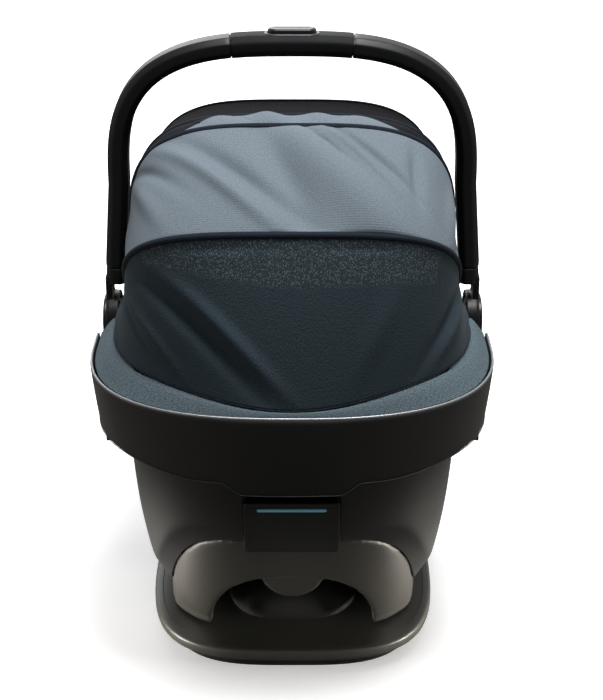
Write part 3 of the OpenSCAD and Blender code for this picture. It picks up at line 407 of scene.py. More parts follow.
def add(tree, kind, inputs, stops=(), **settings):
    """Adds one shader node: settings go on the node, each input is linked if it is a socket and set if it is a
    value, and stops are the (place, colour or grey) pairs of a ramp."""
    made = tree.nodes.new("ShaderNode" + kind)
    for key, value in settings.items():
        setattr(made, key, value)
    for key, value in inputs.items():
        if isinstance(value, bpy.types.NodeSocket):
            tree.links.new(value, made.inputs[key])
        else:
            made.inputs[key].default_value = value
    for k, (place, tone) in enumerate(stops):
        made.color_ramp.elements[k].position = place
        made.color_ramp.elements[k].color = tone if isinstance(tone, tuple) else (tone, tone, tone, 1)
    return made


def finish_of(name, **sockets):
    """An empty material with its shader: returns the material, its tree and the shader."""
    material = bpy.data.materials.new(name)
    material.use_nodes = True
    tree = material.node_tree
    tree.nodes.clear()
    shader = add(tree, "BsdfPrincipled", {k.replace("_", " "): v for k, v in sockets.items()})
    tree.links.new(shader.outputs[0], add(tree, "OutputMaterial", {}).inputs[0])
    return material, tree, shader


def show(tree, shader, height, strength, depth, **patterns):
    """Links patterns to the shader's sockets, and bumps the surface by the pattern of its height; depth is in
    metres."""
    for socket, value in patterns.items():
        tree.links.new(value, shader.inputs[socket.replace("_", " ")])
    bump = add(tree, "Bump", {"Strength": strength, "Distance": depth, "Height": height})
    tree.links.new(bump.outputs[0], shader.inputs["Normal"])


def moulded(name, colour, rough, grain=1.1, wear=0.5, coat=0.0, shine=0.5):
    """Moulded polypropylene or ABS with a spark-eroded texture: a fine pebble that breaks up the gloss, cloudy
    handling marks in the roughness, and a colour that drifts slightly over a hand's width. The real pebble is
    about 0.4 mm, drawn at `grain` mm so that it shows."""
    material, tree, shader = finish_of(name, Roughness=rough, IOR=1.49, Coat_Weight=coat,
                                       Specular_IOR_Level=shine)
    where = add(tree, "TexCoord", {}).outputs["Object"]
    pebble = add(tree, "TexNoise", {"Vector": where, "Scale": 1000 / grain, "Detail": 3.0, "Roughness": 0.6})
    cloud = add(tree, "TexNoise", {"Vector": where, "Scale": 9.0, "Detail": 4.0, "Roughness": 0.55})
    c = linear(colour)
    light = tuple(min(1, v * (1 + 0.35 * wear) + 0.004 * wear) for v in c[:3]) + (1,)
    tone = add(tree, "ValToRGB", {0: cloud.outputs["Fac"]}, [(0.35, c), (0.75, light)])
    handled = add(tree, "ValToRGB", {0: cloud.outputs["Fac"]}, [(0.3, rough - 0.05), (0.7, rough + 0.06)])
    show(tree, shader, pebble.outputs["Fac"], 0.16, 0.0003, Base_Color=tone.outputs[0],
         Roughness=handled.outputs[0])
    return material


def woven(name, dark, light, thread, melange, sheen=0.3, fleck=0.5, by="cut", shine=0.2, other=None):
    """Plain-woven polyester from melange yarn: two crossing sets of threads in the bump, and yarn whose colour
    runs from dark to light over a few millimetres, stretched along the warp and the weft. Threads are about
    0.4 mm on the real cloth and drawn coarser so that they show: the wave repeats every 2 pi / 20 at scale 1,
    so the pitch is about 2 mm times `thread`. It follows the piece's own cut, or its place for a remeshed pad.
    Where the piece's attribute, light, falls to 0, the cloth has the colour `other`."""
    material, tree, shader = finish_of(name, Roughness=0.82, IOR=1.5, Specular_IOR_Level=shine,
                                       Sheen_Weight=sheen, Sheen_Roughness=0.45)
    shader.inputs["Sheen Tint"].default_value = linear(light)
    cut = (add(tree, "UVMap", {}, uv_map="cut").outputs[0] if by == "cut"
           else add(tree, "TexCoord", {}).outputs["Object"])
    waves = {"Vector": cut, "Scale": 1000 / thread / (2 * math.pi), "Distortion": 0.6, "Detail": 1.0,
             "Detail Scale": 0.4}
    warp, weft = (add(tree, "TexWave", waves, bands_direction=d).outputs["Fac"] for d in ("X", "Y"))
    weave = add(tree, "Math", {0: warp, 1: weft}, operation="MULTIPLY")
    yarns = []
    for stretch in ((1.0, 0.4, 1.0), (0.4, 1.0, 1.0)):
        along = add(tree, "Mapping", {"Vector": cut, "Scale": stretch}).outputs[0]
        yarns.append(add(tree, "TexNoise", {"Vector": along, "Scale": 900.0 / thread, "Detail": 2.0}))
    both = add(tree, "Math", {0: yarns[0].outputs["Fac"], 1: yarns[1].outputs["Fac"]}, operation="ADD")
    mixed = add(tree, "Math", {0: both.outputs[0], 1: 0.5}, operation="MULTIPLY").outputs[0]
    spread = 0.12 / max(melange, 0.1)
    tone = add(tree, "ValToRGB", {0: mixed}, [(0.5 - spread, linear(dark)), (0.5 + spread, linear(light))])
    specks = add(tree, "TexNoise", {"Vector": cut, "Scale": 1100.0 / thread, "Detail": 1.0}).outputs["Fac"]
    share = add(tree, "ValToRGB", {0: specks}, [(0.66, 0.0), (0.72, fleck)]).outputs[0]
    bright = tuple(min(1, v * 1.9 + 0.05) for v in linear(light)[:3]) + (1,)
    tone = add(tree, "Mix", {0: share, 6: tone.outputs[0], 7: bright}, data_type="RGBA").outputs[2]
    if other:
        share = add(tree, "Attribute", {}, attribute_name="light").outputs["Fac"]
        tone = add(tree, "Mix", {0: share, 6: linear(other), 7: tone}, data_type="RGBA").outputs[2]
    show(tree, shader, weave.outputs[0], 0.45, 0.0006, Base_Color=tone)
    return material


def webbing_finish(name, dark, light):
    """Woven polyester webbing: close ribs across the strap, with fainter lines along it. Real ribs are
    about 1.2 mm apart; they are drawn about 3 mm apart, and the lines 5 mm, so that they show."""
    material, tree, shader = finish_of(name, Roughness=0.55, IOR=1.5, Sheen_Weight=0.25)
    cut = add(tree, "UVMap", {}, uv_map="cut").outputs[0]
    ribs = add(tree, "TexWave", {"Vector": cut, "Scale": 1000 / 1.6 / (2 * math.pi), "Distortion": 0.4},
               bands_direction="Y").outputs["Fac"]
    lines = add(tree, "TexWave", {"Vector": cut, "Scale": 1000 / 2.4 / (2 * math.pi)},
                bands_direction="X").outputs["Fac"]
    both = add(tree, "Math", {0: ribs, 1: lines}, operation="MULTIPLY").outputs[0]
    tone = add(tree, "ValToRGB", {0: both}, [(0.1, linear(dark)), (0.8, linear(light))])
    show(tree, shader, both, 0.5, 0.0006, Base_Color=tone.outputs[0])
    return material


def brushed(name, colour, rough):
    """Drawn or stamped steel: fine lines along X, the draw, which stretch the highlights across it."""
    material, tree, shader = finish_of(name, Metallic=1.0, Roughness=rough, Base_Color=linear(colour))
    where = add(tree, "TexCoord", {}).outputs["Object"]
    stretched = add(tree, "Mapping", {"Vector": where, "Scale": (1.0, 40.0, 40.0)}).outputs[0]
    lines = add(tree, "TexNoise", {"Vector": stretched, "Scale": 60.0, "Detail": 4.0}).outputs["Fac"]
    streaks = add(tree, "ValToRGB", {0: lines}, [(0.3, rough - 0.08), (0.7, rough + 0.1)])
    show(tree, shader, lines, 0.1, 0.0002, Roughness=streaks.outputs[0])
    return material


def bead_foam(name, colour):
    """Moulded bead foam: expanded beads about 4 mm across, each a soft cell with a thin groove round it."""
    material, tree, shader = finish_of(name, Roughness=0.75, IOR=1.45)
    where = add(tree, "TexCoord", {}).outputs["Object"]
    beads = add(tree, "TexVoronoi", {"Vector": where, "Scale": 250.0}, feature="DISTANCE_TO_EDGE")
    tone = add(tree, "ValToRGB", {0: beads.outputs[0]}, [(0.0, linear("#bdbdb8")), (0.12, linear(colour))])
    show(tree, shader, beads.outputs[0], 0.6, 0.0006, Base_Color=tone.outputs[0])
    return material


def spacer_mesh(name, dark, light):
    """Warp-knitted spacer mesh sewn to dark woven cloth: under the piping the mesh's open cells, about
    1.6 mm apart, carry painted glints, a pale grey on each cell that stands in for its sparkle of light;
    below the seam the cloth is plain. The piece's own attribute, knit_and_glints, says where the mesh and
    its painted glints are."""
    material, tree, shader = finish_of(name, Roughness=0.8, IOR=1.5, Specular_IOR_Level=0.2, Sheen_Weight=0.04,
                                       Sheen_Roughness=0.4)
    cut = add(tree, "UVMap", {}, uv_map="cut").outputs[0]
    knit_and_glints = add(tree, "TexVoronoi", {"Vector": cut, "Scale": 620.0, "Randomness": 0.85}, feature="F1")
    yarn = add(tree, "TexNoise", {"Vector": cut, "Scale": 900.0, "Detail": 2.0}).outputs["Fac"]
    cells = add(tree, "ValToRGB", {0: knit_and_glints.outputs["Distance"]}, [(0.2, 1.0), (0.5, 0.0)]).outputs[0]
    mask = add(tree, "Attribute", {}, attribute_name="knit_and_glints").outputs["Fac"]
    sparkle = add(tree, "Math", {0: cells, 1: mask}, operation="MULTIPLY").outputs[0]
    uneven = add(tree, "ValToRGB", {0: yarn}, [(0.35, 0.15), (0.65, 1.0)]).outputs[0]
    glints = add(tree, "Math", {0: sparkle, 1: uneven}, operation="MULTIPLY").outputs[0]
    ground = add(tree, "ValToRGB", {0: yarn}, [(0.3, linear(dark)), (0.75, linear(light))]).outputs[0]
    # Painted glints: pale grey #828b91 mixed in on the mesh's cells in place of their sparkle of light.
    tone = add(tree, "Mix", {0: glints, 6: ground, 7: linear("#828b91")}, data_type="RGBA")
    show(tree, shader, knit_and_glints.outputs["Distance"], 0.5, 0.0006, Base_Color=tone.outputs[2])
    return material


def make_finishes():
    """Every finish, by the record's slot name and by a few names for parts of a slot."""
    c = bpy.context.scene.seat_colours
    return {
        "dock_plastic": moulded("moulded_polypropylene_stand", c.stand, 0.42, 1.4),
        # Painted light: the rocker is the shell's plastic in a lighter, warmer colour, for the light on its legs.
        "shell_plastic": moulded("moulded_polypropylene_shell", c.shell, 0.48, 1.2),
        "rocker_plastic_painted_light": moulded("moulded_polypropylene_rocker_painted_light", c.rocker, 0.5, 1.2),
        "inner_plastic": moulded("moulded_nylon_inside", "#151617", 0.6),
        "handle_plastic": moulded("satin_moulded_handle", c.handle, 0.42, 0.9, shine=0.3),
        "grip_rubber": moulded("soft_touch_overmould", "#101113", 0.65, 0.9, shine=0.2),
        "button_plastic": moulded("satin_moulded_button", "#131416", 0.34, 0.9),
        "bow_plastic": moulded("moulded_acetal_bow", "#121316", 0.4),
        "rubber": moulded("moulded_rubber_pad", "#101010", 0.8, 1.6),
        "lever_grey": moulded("moulded_acetal_lever", "#6a6e73", 0.4),
        "buckle_red": moulded("glossy_moulded_abs_button", "#a81f27", 0.28, 1.0, coat=0.4),
        "accent_blue": moulded("satin_blue_insert", c.accent, 0.4, 0.8, wear=0.2),
        "satin_trim": brushed("satin_silver_bead", "#a9abae", 0.5),
        "steel": brushed("zinc_plated_steel", "#9da0a4", 0.3),
        "foam": bead_foam("moulded_bead_foam", "#dcdcd8"),
        "pad_fabric": woven("woven_melange_liner", "#1c2227", c.liner, 1.1, 0.5, 0.1),
        # Painted light: the wing pad is the liner's cloth in lighter yarn colours, for the light on its top.
        "wing_fabric_painted_light": woven("woven_melange_wing_painted_light", "#222a2f", c.wing, 1.0, 0.5, 0.08, 0.3),
        "canopy_light": woven("woven_melange_canopy", "#5f6a73", c.canopy, 1.0, 0.5, 0.1, 0.3),
        "canopy_front": woven("woven_two_tone_canopy", "#5f6a73", c.canopy, 1.0, 0.5, 0.0, 0.3, shine=0.1,
                              other="#0b0b12"),
        "canopy_dark": woven("woven_dark_canopy", "#07080d", "#0e0f16", 1.0, 0.6, 0.0, 0.05, shine=0.06),
        "piping": woven("woven_navy_piping", "#10161e", "#222c38", 0.9, 0.4, 0.1, 0.2),
        "knit_and_glints": spacer_mesh("spacer_mesh_and_cloth", "#29353c", "#3f4e56"),
        "webbing": webbing_finish("woven_polyester_webbing", "#0c0d0f", "#26292d"),
        # Painted shade: the plinth and the pedestal are the stand's plastic in darker colours, for the shade under
        # the tray and under the seat.
        "plinth": moulded("moulded_polypropylene_plinth_painted_shade", "#141412", 0.5, 1.4),
        "pedestal": moulded("moulded_polypropylene_pedestal_painted_shade", "#0c0c0c", 0.55, 1.4),
        "bezel": moulded("satin_button_surround", "#3c3d3f", 0.35, 0.8),
        "pad_soft": woven("woven_melange_headrest", "#171b20", c.liner, 1.1, 0.5, by="place"),
    }


def dress(piece, finish, body, slot, *nodes):
    """Gives a piece its finish, its body and the CAD nodes that it stands for; the record's slot is not used."""
    piece.data.materials.clear()
    piece.data.materials.append(FINISHES[finish])
    if body:
        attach(piece, body)
    if nodes:
        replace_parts(piece, *nodes)
    return piece


FINISHES = {}


class CarSeatColours(bpy.types.PropertyGroup):
    """Colours of the car seat's finishes, as sRGB hex values."""

    shell: StringProperty(name="Shell", description="Moulded shell and wing band", default="#131415")
    # Painted light: lighter and warmer than the shell, though the rocker is the same plastic, for the light on its
    # legs.
    rocker: StringProperty(name="Rocker", description="Moulded rocker base", default="#21201d")
    stand: StringProperty(name="Stand", description="Moulded stand", default="#33332f")
    handle: StringProperty(name="Handle", description="Satin handle", default="#111214")
    canopy: StringProperty(name="Canopy", description="Light yarn of the canopy", default="#808b94")
    # Painted light: the wing pad's yarn is a lighter copy of the liner's, for the light on the pad's top.
    wing: StringProperty(name="Wing pad", description="Light yarn of the wing pad", default="#778992")
    liner: StringProperty(name="Liner", description="Light yarn of the seat's liner", default="#3b434b")
    accent: StringProperty(name="Accent", description="Insert in the release lever", default="#84cbe3")


class CarSeatSizes(bpy.types.PropertyGroup):
    """Sizes of the sewn and moulded details."""

    piping: FloatProperty(name="Piping radius", description="Radius of the piping over each bow",
                          default=0.0038, min=0.002, max=0.006, unit="LENGTH")
    fold: FloatProperty(name="Fold depth", description="Depth of the canopy's widest folds",
                        default=0.0048, min=0.0, max=0.008, unit="LENGTH")
    bead: FloatProperty(name="Bead radius", description="Radius of the silver bead on the wing band",
                        default=0.0014, min=0.001, max=0.003, unit="LENGTH")
    puff: FloatProperty(name="Padding", description="How far a quilted pad may puff up when filled",
                        default=0.008, min=0.0, max=0.015, unit="LENGTH")


# ---------- shell, rocker, band ----------

def rounded_rect(x, z, corner):
    """Rectangle between x and z limits with a quarter circle at each corner."""
    turn = np.arange(4)[:, None] * math.pi / 2
    w = turn + np.linspace(0, math.pi / 2, 9)[None, :]
    right, up = np.cos(turn + math.pi / 4) > 0, np.sin(turn + math.pi / 4) > 0
    u = np.where(right, x[1] - corner, x[0] + corner) + corner * np.cos(w)
    v = np.where(up, z[1] - corner, z[0] + corner) + corner * np.sin(w)
    return u.ravel(), v.ravel()


def slab(name, x, z, corner, rows, place, crease=40):
    """Rounded rectangle stacked along Y of a tilted frame; rows are (growth of the outline, Y)."""
    grid = []
    for grow, y in rows:
        u, v = rounded_rect((x[0] - grow, x[1] + grow), (z[0] - grow, z[1] + grow), max(corner + grow, 0.2))
        grid.append(np.stack([u, np.full(len(u), float(y)), v], -1))
    return surface(name, place(np.array(grid)), TUBE, True, crease=crease)


def shell_skin():
    """Double-walled shell. Rows run from inside the skirt's edge, down its chamfer, up the outside, over a half
    round rim and down the inside; the release lever's slot is cut out of it."""
    a = shell_angles(280)[None, :]
    z0, z1 = ledge(a), rim_at(a)
    wide = 24 * smooth((np.abs(shell_point(a, LEDGE_Z, 0)[..., 0]) - 30) / 110)
    foot = [(1 - CHAMFER, CHAMFER + 3, 0), (-CHAMFER - 1, CHAMFER, 0), (-CHAMFER - 0.4, CHAMFER - 1.2, 0),
            (-6, 5.4, 0.45), (-2, 2.2, 0.8), (-0.6, 1.1, 0.9), (1.2, 0.4, 1), (4, 0, 1.15)]
    rows = [shell_point(a, z0 + dz + wide * k, inset) for dz, inset, k in foot]
    z0 = z0 + 1.15 * wide
    rows += [shell_point(a, mix(z0 + 4, z1 - 2, t), 0) for t in np.linspace(0, 1, 26)[1:]]
    rows += [shell_point(a, z1 - 2 + 2 * math.sin(w), 2 - 2 * math.cos(w))
             for w in np.linspace(0, math.pi, 7)[1:]]
    rows += [shell_point(a, mix(z1 - 2, z0 + 5, t), SHELL_WALL) for t in np.linspace(0, 1, 9)[1:]]
    skin = surface("shell_skin", np.concatenate(rows), RING)
    reach = LEVER_HALF + 1
    cut_away(skin, slab("slot_cut", (-reach, reach), (-14, 76), 7, [(0, -20), (0, 20)], ON_WALL, crease=35))
    skin.data.set_sharp_from_angle(angle=math.radians(35))
    return dress(skin, "shell_plastic", "seat", "shell_plastic", "lower_shell")


def arch_line():
    """Outline of the arch between the rocker's legs: a superellipse from the rail up to the crown and down."""
    x = ARCH_HALF * np.cos(np.linspace(0, math.pi, 64))
    z = RAIL_Z + (ARCH_Z - RAIL_Z) * (1 - (np.abs(x) / ARCH_HALF) ** 2.6) ** (1 / 2.2)
    return np.vstack([[[ARCH_HALF, RAIL_Z - 15]], np.stack([x, z], -1), [[-ARCH_HALF, RAIL_Z - 15]]])


def remeshed(piece, voxel, rounds):
    """Joins the piece's overlapping volumes to one skin of even faces and smooths its edges round."""
    remesh = piece.modifiers.new("skin", "REMESH")
    remesh.mode, remesh.voxel_size, remesh.use_smooth_shade = "VOXEL", voxel * MM, True
    soft = piece.modifiers.new("edges", "SMOOTH")
    soft.factor, soft.iterations = 0.5, rounds
    return settle(piece)


def joined(name, parts):
    """Several new pieces made one."""
    with bpy.context.temp_override(active_object=parts[0], selected_editable_objects=parts):
        bpy.ops.object.join()
    parts[0].name = parts[0].data.name = name
    return parts[0]


def leaning(p, s):
    """Draws the legs at the head end in towards their feet, by up to 9 %: s is 0 at the rail and 1 at the
    top."""
    draw = 0.09 * (1 - s) ** 1.3 * smooth((-110 - p[..., 1]) / 45)
    return np.stack([p[..., 0] * (1 - draw), p[..., 1], p[..., 2]], -1)


def rocker_skin():
    """Rocker base: a wall that draws in to its rails by the square of the height while its plan grows squarer,
    an arch cut through it at both ends, and a belly pan with a rounded lip. All join to one skin with soft
    edges."""
    a = shell_angles(200)[None, :]
    top = ledge(a) - CHAMFER - 1.3
    rows = [leaning(shell_point(a, mix(RAIL_Z, top, s ** 1.6), CHAMFER + 0.5 + 5 * (1 - s) ** 2,
                                mix(5.5, SHELL_N, s)), s)
            for s in np.linspace(0, 1, 22)]
    inner = np.maximum(top, ARCH_Z + 6)
    rows += [shell_point(a, top, CHAMFER + 4.5), shell_point(a, inner, CHAMFER + 4.5),
             shell_point(a, inner, CHAMFER + 14)]
    rows += [leaning(shell_point(a, mix(inner, RAIL_Z, t), CHAMFER + 14 + 8 * t, mix(SHELL_N, 5.5, t)), 1 - t)
             for t in np.linspace(0, 1, 8)[1:]]
    wall = surface("rocker_skin", np.concatenate(rows), RING)
    arch = arch_line()
    for y0, y1 in ((-330, -115), (115, 400)):
        ends = [np.stack([arch[:, 0], np.full(len(arch), y), arch[:, 1]], -1) for y in (y0, y1)]
        cut_away(wall, surface("arch_cut", np.array(ends), TUBE, True))
    pan = [(70, 90), (56, 93), (46, 99), (20, 120), (20, 124), (46, 101.7), (68, 101.7)]
    floor = [shell_point(a, ARCH_Z, d) + np.array([0, 0, z - ARCH_Z]) for d, z in pan]
    belly = surface("belly", np.concatenate(floor), TUBE, True)
    half, sag = 36.0, ARCH_Z - 90
    radius = (half ** 2 + sag ** 2) / (2 * sag)
    x = np.linspace(-half, half, 40)
    lower = 90 + radius - np.sqrt(radius ** 2 - x ** 2)
    face = np.concatenate([np.stack([x, lower], -1), np.stack([x[::-1], np.full(40, 124.0)], -1)])
    y = low("rocker_base")[1] + 24
    lips = [np.stack([face[:, 0] * k, np.full(80, y + d), 124 + (face[:, 1] - 124) * k], -1)
            for d, k in ((0, 0.95), (2, 1.0), (9, 1.0), (11, 0.95))]
    lip = surface("lip", np.array(lips), TUBE, True)
    skin = remeshed(joined("rocker_skin", [wall, belly, lip]), 2.7, 6)
    # Painted light: the rocker's finish is a lighter, warmer copy of the shell's plastic.
    return dress(skin, "rocker_plastic_painted_light", "seat", "shell_plastic", "rocker_base")


def head_line(z, gap, count):
    """Line round the head end of the shell at height z, gap away from it, evenly spaced like the band's."""
    b, h, _ = shell_sizes(np.float64(z))
    end = math.asin((-BAND_END_Y / h) ** (SHELL_N / 2))
    a = np.linspace(end - math.pi, -end, 1201)
    pts = np.stack(outline(a, b + gap, h + gap, h + gap, SHELL_N), -1)
    return spaced(pts, count)


def raised(line, z):
    """A plan line with its height."""
    return np.column_stack([line, np.broadcast_to(z, len(line))])


def wing_band():
    """Wing band: one sheet from the top edge down its tapered outside, round the lower edge and in under the
    pad to the shell, given the wall's thickness inwards."""
    count = WIDE
    top, foot, shell = band_line(0, count), band_line(BAND_TAPER, count), head_line(BAND_FOOT, 1.4, count)
    z = band_low(foot[:, 0])
    rows = [raised(mix(top, foot, t ** 1.15), mix(BAND_TOP, z + 2.2, t)) for t in np.linspace(0, 1, 18)]
    rows += [raised(mix(foot, shell, 0.02 + 0.09 * (1 - math.cos(w))), z + 2.2 * (1 - math.sin(w)))
             for w in np.linspace(0.2, math.pi / 2, 6)]
    rows += [raised(mix(foot, shell, t), z) for t in np.linspace(0.15, 1, 6)[1:]]
    band = surface("wing_band_skin", np.array(rows), centre=(0, BAND_Y, 310))
    thicken(band, 3.2, -1)
    return dress(band, "shell_plastic", "seat", "shell_plastic", "wing_band")


def tapered(section, count, power=80):
    """A section that closes to a point at both ends of its path and keeps its size between."""
    return section[None] * np.sqrt(np.clip(1 - np.linspace(-1, 1, count) ** power, 0.02, 1))[:, None, None]


def wing_bead():
    """Silver bead on the band's top edge, and along its foot a fine pale line that is a painted highlight
    of the edge: round sections carried along.
    """
    r = bpy.context.scene.seat_sizes.bead / MM
    top, foot = raised(band_line(1.5, FINE), BAND_TOP + 1), band_line(BAND_TAPER - 0.25, FINE)
    bead = carried("wing_bead", top, tapered(oval(r * 1.15, r, 2, 14), FINE), (0, 0, 1))
    foot = raised(foot, band_low(foot[:, 0]) + 1.5)
    # Painted highlight: a thin tube in the paler bezel finish along the band's foot, for the light caught by that
    # edge.
    edge = carried("wing_foot_highlight", foot, tapered(oval(0.5, 0.4, 2, 8), FINE), (0, 0, 1))
    dress(edge, "bezel", "seat", "shell_plastic")
    return dress(bead, "satin_trim", "seat", "satin_trim", "band_trim")


def wing_pad():
    """Padded melange ring between band and canopy: crowned by a sine across its width, dipping at the canopy's
    seam, with a stitched channel just outside it."""
    count = WIDE
    foot, side = band_line(BAND_TAPER + 6, count), band_line(BAND_WALL + 2.4, count)
    top, seam = band_line(BAND_WALL + 1.4, count), band_line(0, count, SEAM_HALF, SEAM_REACH, SEAM_N)
    shell = head_line(RIM_Z, 1.6, count)
    z0, zs = band_low(foot[:, 0]) + 4.2, seam_height(seam[:, 0])
    rows = [raised(foot, z0), raised(mix(foot, side, 0.5), mix(z0, BAND_TOP - 1, 0.5)),
            raised(side, BAND_TOP - 2.5)]
    for t in np.linspace(0, 1, 22):
        swell = 3.4 * math.sin(math.pi * t ** 0.8) - 1.6 * math.exp(-((t - 0.88) / 0.03) ** 2)
        rows.append(raised(mix(top, seam, t), mix(344.2, zs, smooth(t * 0.9 + 0.05)) + swell))
    rows += [raised(mix(seam, shell, 0.5), zs - 2.5), raised(shell, zs - 5),
             raised(head_line(300, 1.6, count), 300.0), raised(head_line(BAND_FOOT, 1.6, count), z0)]
    pad = surface("wing_pad_skin", np.array(rows).transpose(1, 0, 2), TUBE, True, crease=60)
    # Painted light: the pad's finish is a lighter copy of the liner's cloth.
    return dress(pad, "wing_fabric_painted_light", "seat", "pad_fabric", "wing_pad")


def rim_cover():
    """Elastic hem of the liner over the shell's rim: a crowned band that dips to its edges, faintly
    gathered."""
    count = 420
    a = shell_angles(count)[None, :]
    z1 = rim_at(a)
    gather = 0.35 * np.sin(np.arange(count) * 2 * math.pi / count * 70)[None, :]
    section = [(0.4, 0.4), (0.9, 2.2), (2.5, 4.2), (5, 5.6), (8, 6.1), (12, 6.2), (16, 5.8), (20, 5.0),
               (23.5, 3.9), (26, 2.2), (27, 0.4)]
    rows = [shell_point(a, RIM_Z, d) * [1, 1, 0] + (z1 + h + gather * h / 6)[..., None] * [0, 0, 1]
            for d, h in section]
    cover = surface("rim_cover_skin", np.concatenate(rows), RING, crease=70)
    return dress(cover, "pad_fabric", "seat", "pad_fabric", "rim_cover")


# ---------- handle and hubs ----------

def ribbon(name, line, phi, section, crease=40):
    """A section (u outwards, s across) carried along a line in the plane at angle phi through the hub axis."""
    m = outward(line)
    section = np.broadcast_to(section, (len(line),) + section.shape[-2:])
    x = line[:, :1] + m[:, :1] * section[..., 0]
    r = line[:, 1:] + m[:, 1:] * section[..., 0]
    return surface(name, in_plane(x, r, section[..., 1], phi), TUBE, True, crease=crease)


def handle_line(count):
    """Middle line of the handle's tube: straight legs, a slight lean, then a superellipse over the top."""
    t = np.linspace(-math.pi / 2, math.pi / 2, 1601)
    arch = np.stack([HANDLE_MID * spow(np.sin(t), 2 / HANDLE_N),
                     HANDLE_R0 + (CROWN_R - HANDLE_R0) * np.abs(np.cos(t)) ** (2 / HANDLE_N)], -1)
    legs = np.array([[-LEG_MID, SEAM_R], [-LEG_MID, SEAM_R + 6]])
    pts = np.vstack([legs, arch, legs[::-1] * [-1, 1]])
    return spaced(pts, count)


def stadium(name, rows, ring=False):
    """Rings of the button's rounded oblong stacked along Z: rows are (growth of the outline, height). A ring
    joins its last row to its first."""
    w = np.linspace(0, 2 * math.pi, 96, endpoint=False)
    grid = []
    for grow, z in rows:
        r = BUTTON_W / 2 + grow
        x = r * np.cos(w) + np.sign(np.cos(w)) * (BUTTON_L - BUTTON_W) / 2
        grid.append(np.stack([x, PIVOT[1] + r * np.sin(w), np.full(len(w), float(z))], -1))
    return surface(name, np.array(grid), (ring, True), not ring, crease=45)


def button_pocket():
    """Cutter for the pocket under the release button."""
    return stadium("pocket", [(0.6, low("grip_button")[2] - 8), (0.6, high("grip_button")[2] + 20)])


def handle_skin():
    """Handle arch: a rectangle with broad 45 degree bevels carried along the arch, in two halves that step down
    beside the grip, with a shallow groove at each seam and a core through the grip."""
    line = handle_line(401)
    parts = []
    for side in (-1, 1):
        half = line[line[:, 0] * side > GRIP_HALF]
        near = np.linspace(0, 1, len(half))
        step = 1 - 0.03 * hump(near, 0, 0.004) - 0.03 * hump(near, 1, 0.004)
        section = chamfered(TUBE_W / 2, TUBE_D / 2, TUBE_CUT, 1.6)[None] * step[:, None, None]
        parts.append(ribbon("handle_half", half, 90, section))
    core = line[np.abs(line[:, 0]) < GRIP_HALF + 3]
    middle = ribbon("handle_core", core, 90, chamfered(TUBE_W / 2 - 2.5, TUBE_D / 2 - 2.5, 5, 1.5))
    parts.append(cut_away(middle, button_pocket()))
    return dress(joined("handle_skin", parts), "handle_plastic", "handle", "handle_plastic", "handle_arch")


def grip_skin():
    """Soft overmould on the middle of the handle: the same section a little proud, its ends rounded over, with
    the button's pocket cut in its top."""
    line = handle_line(801)
    line = line[np.abs(line[:, 0]) < GRIP_HALF]
    proud = 0.4 * (1 - np.abs(np.linspace(-1, 1, len(line))) ** 60)
    section = chamfered(TUBE_W / 2, TUBE_D / 2, TUBE_CUT, 2.2)[None] * (1 + proud[:, None, None] / 14)
    grip = cut_away(ribbon("grip_skin", line, 90, section), button_pocket())
    return dress(grip, "grip_rubber", "handle", "grip_rubber", "handle_grip")


def grip_button():
    """Release button in the grip: a domed oblong with a dished top; its paler surround is a flat ring."""
    z0, z1 = low("grip_button")[2], high("grip_button")[2]
    rows = [(-1, z0), (0, z0 + 0.8), (0, z1 - 3), (-0.3, z1 - 1.6), (-1.2, z1 - 0.5), (-2.6, z1),
            (-4.5, z1 - 0.1), (-6.5, z1 - 0.5), (-8.6, z1 - 0.7)]
    button = stadium("grip_button_skin", rows)
    reach, y, room = 6.5, PIVOT[1], BUTTON_TRAVEL + 0.8
    cut_away(button, box_piece("spring_cut", (-reach, y - reach, z0 - 2), (reach, y + reach, z0 + room)))
    dress(button, "button_plastic", "button", "button_plastic", "grip_button")
    b = high("button_bezel")[2]
    rows = [(0.7, b - 4), (0.7, b - 0.5), (1.1, b - 0.1), (2.6, b), (3.6, b - 0.4), (4.0, b - 1.2),
            (4.0, b - 4)]
    bezel = stadium("button_surround", rows, ring=True)
    return dress(bezel, "bezel", "handle", "satin_trim", "button_bezel")


def mirrored(piece):
    """The piece's mesh mirrored in the middle plane."""
    piece.data.transform(Matrix.Scale(-1, 4, (1, 0, 0)))
    piece.data.flip_normals()
    return piece


def leg_skins():
    """Feet of the handle: the tube's section runs down into a round hub disc with a cover plate, joined to one
    skin with soft edges and hollow behind, where the lock disc sits."""
    r = np.linspace(SEAM_R - 1.1, NOTCH_R - 3, 14)
    for tag in ("l", "r"):
        line = np.stack([np.full(14, LEG_MID), r], -1)
        tube = ribbon("leg_skin", line, 90, chamfered(TUBE_W / 2, TUBE_D / 2, TUBE_CUT, 1.6))
        profile = np.array([(HUB_X0, HUB_R - 6), (HUB_X0, HUB_R - 0.5), (HUB_X0 + 1, HUB_R),
                            (HUB_X1 - 2, HUB_R), (HUB_X1, HUB_R - 2), (HUB_X1, 6.2), (HUB_X1 - 3, 6.2),
                            (HUB_X1 - 3, HUB_R - 6)])
        disc = turned("disc", profile, True)
        y, z = PIVOT[1], PIVOT[2]
        corner = np.array([[[x, y + dy, z + dz] for x, dy in ((HUB_X1 - 7, -15), (HUB_X1, -15), (HUB_X1, 15),
                                                               (HUB_X1 - 7, 15))] for dz in (29, 57)])
        plate = surface("plate", corner, TUBE, True)
        leg = remeshed(joined("leg_skin_" + tag, [tube, disc, plate]), 1.2, 4)
        if tag == "l":
            mirrored(leg)
        dress(leg, "handle_plastic", "handle", "handle_plastic", "handle_leg_" + tag)
    return leg


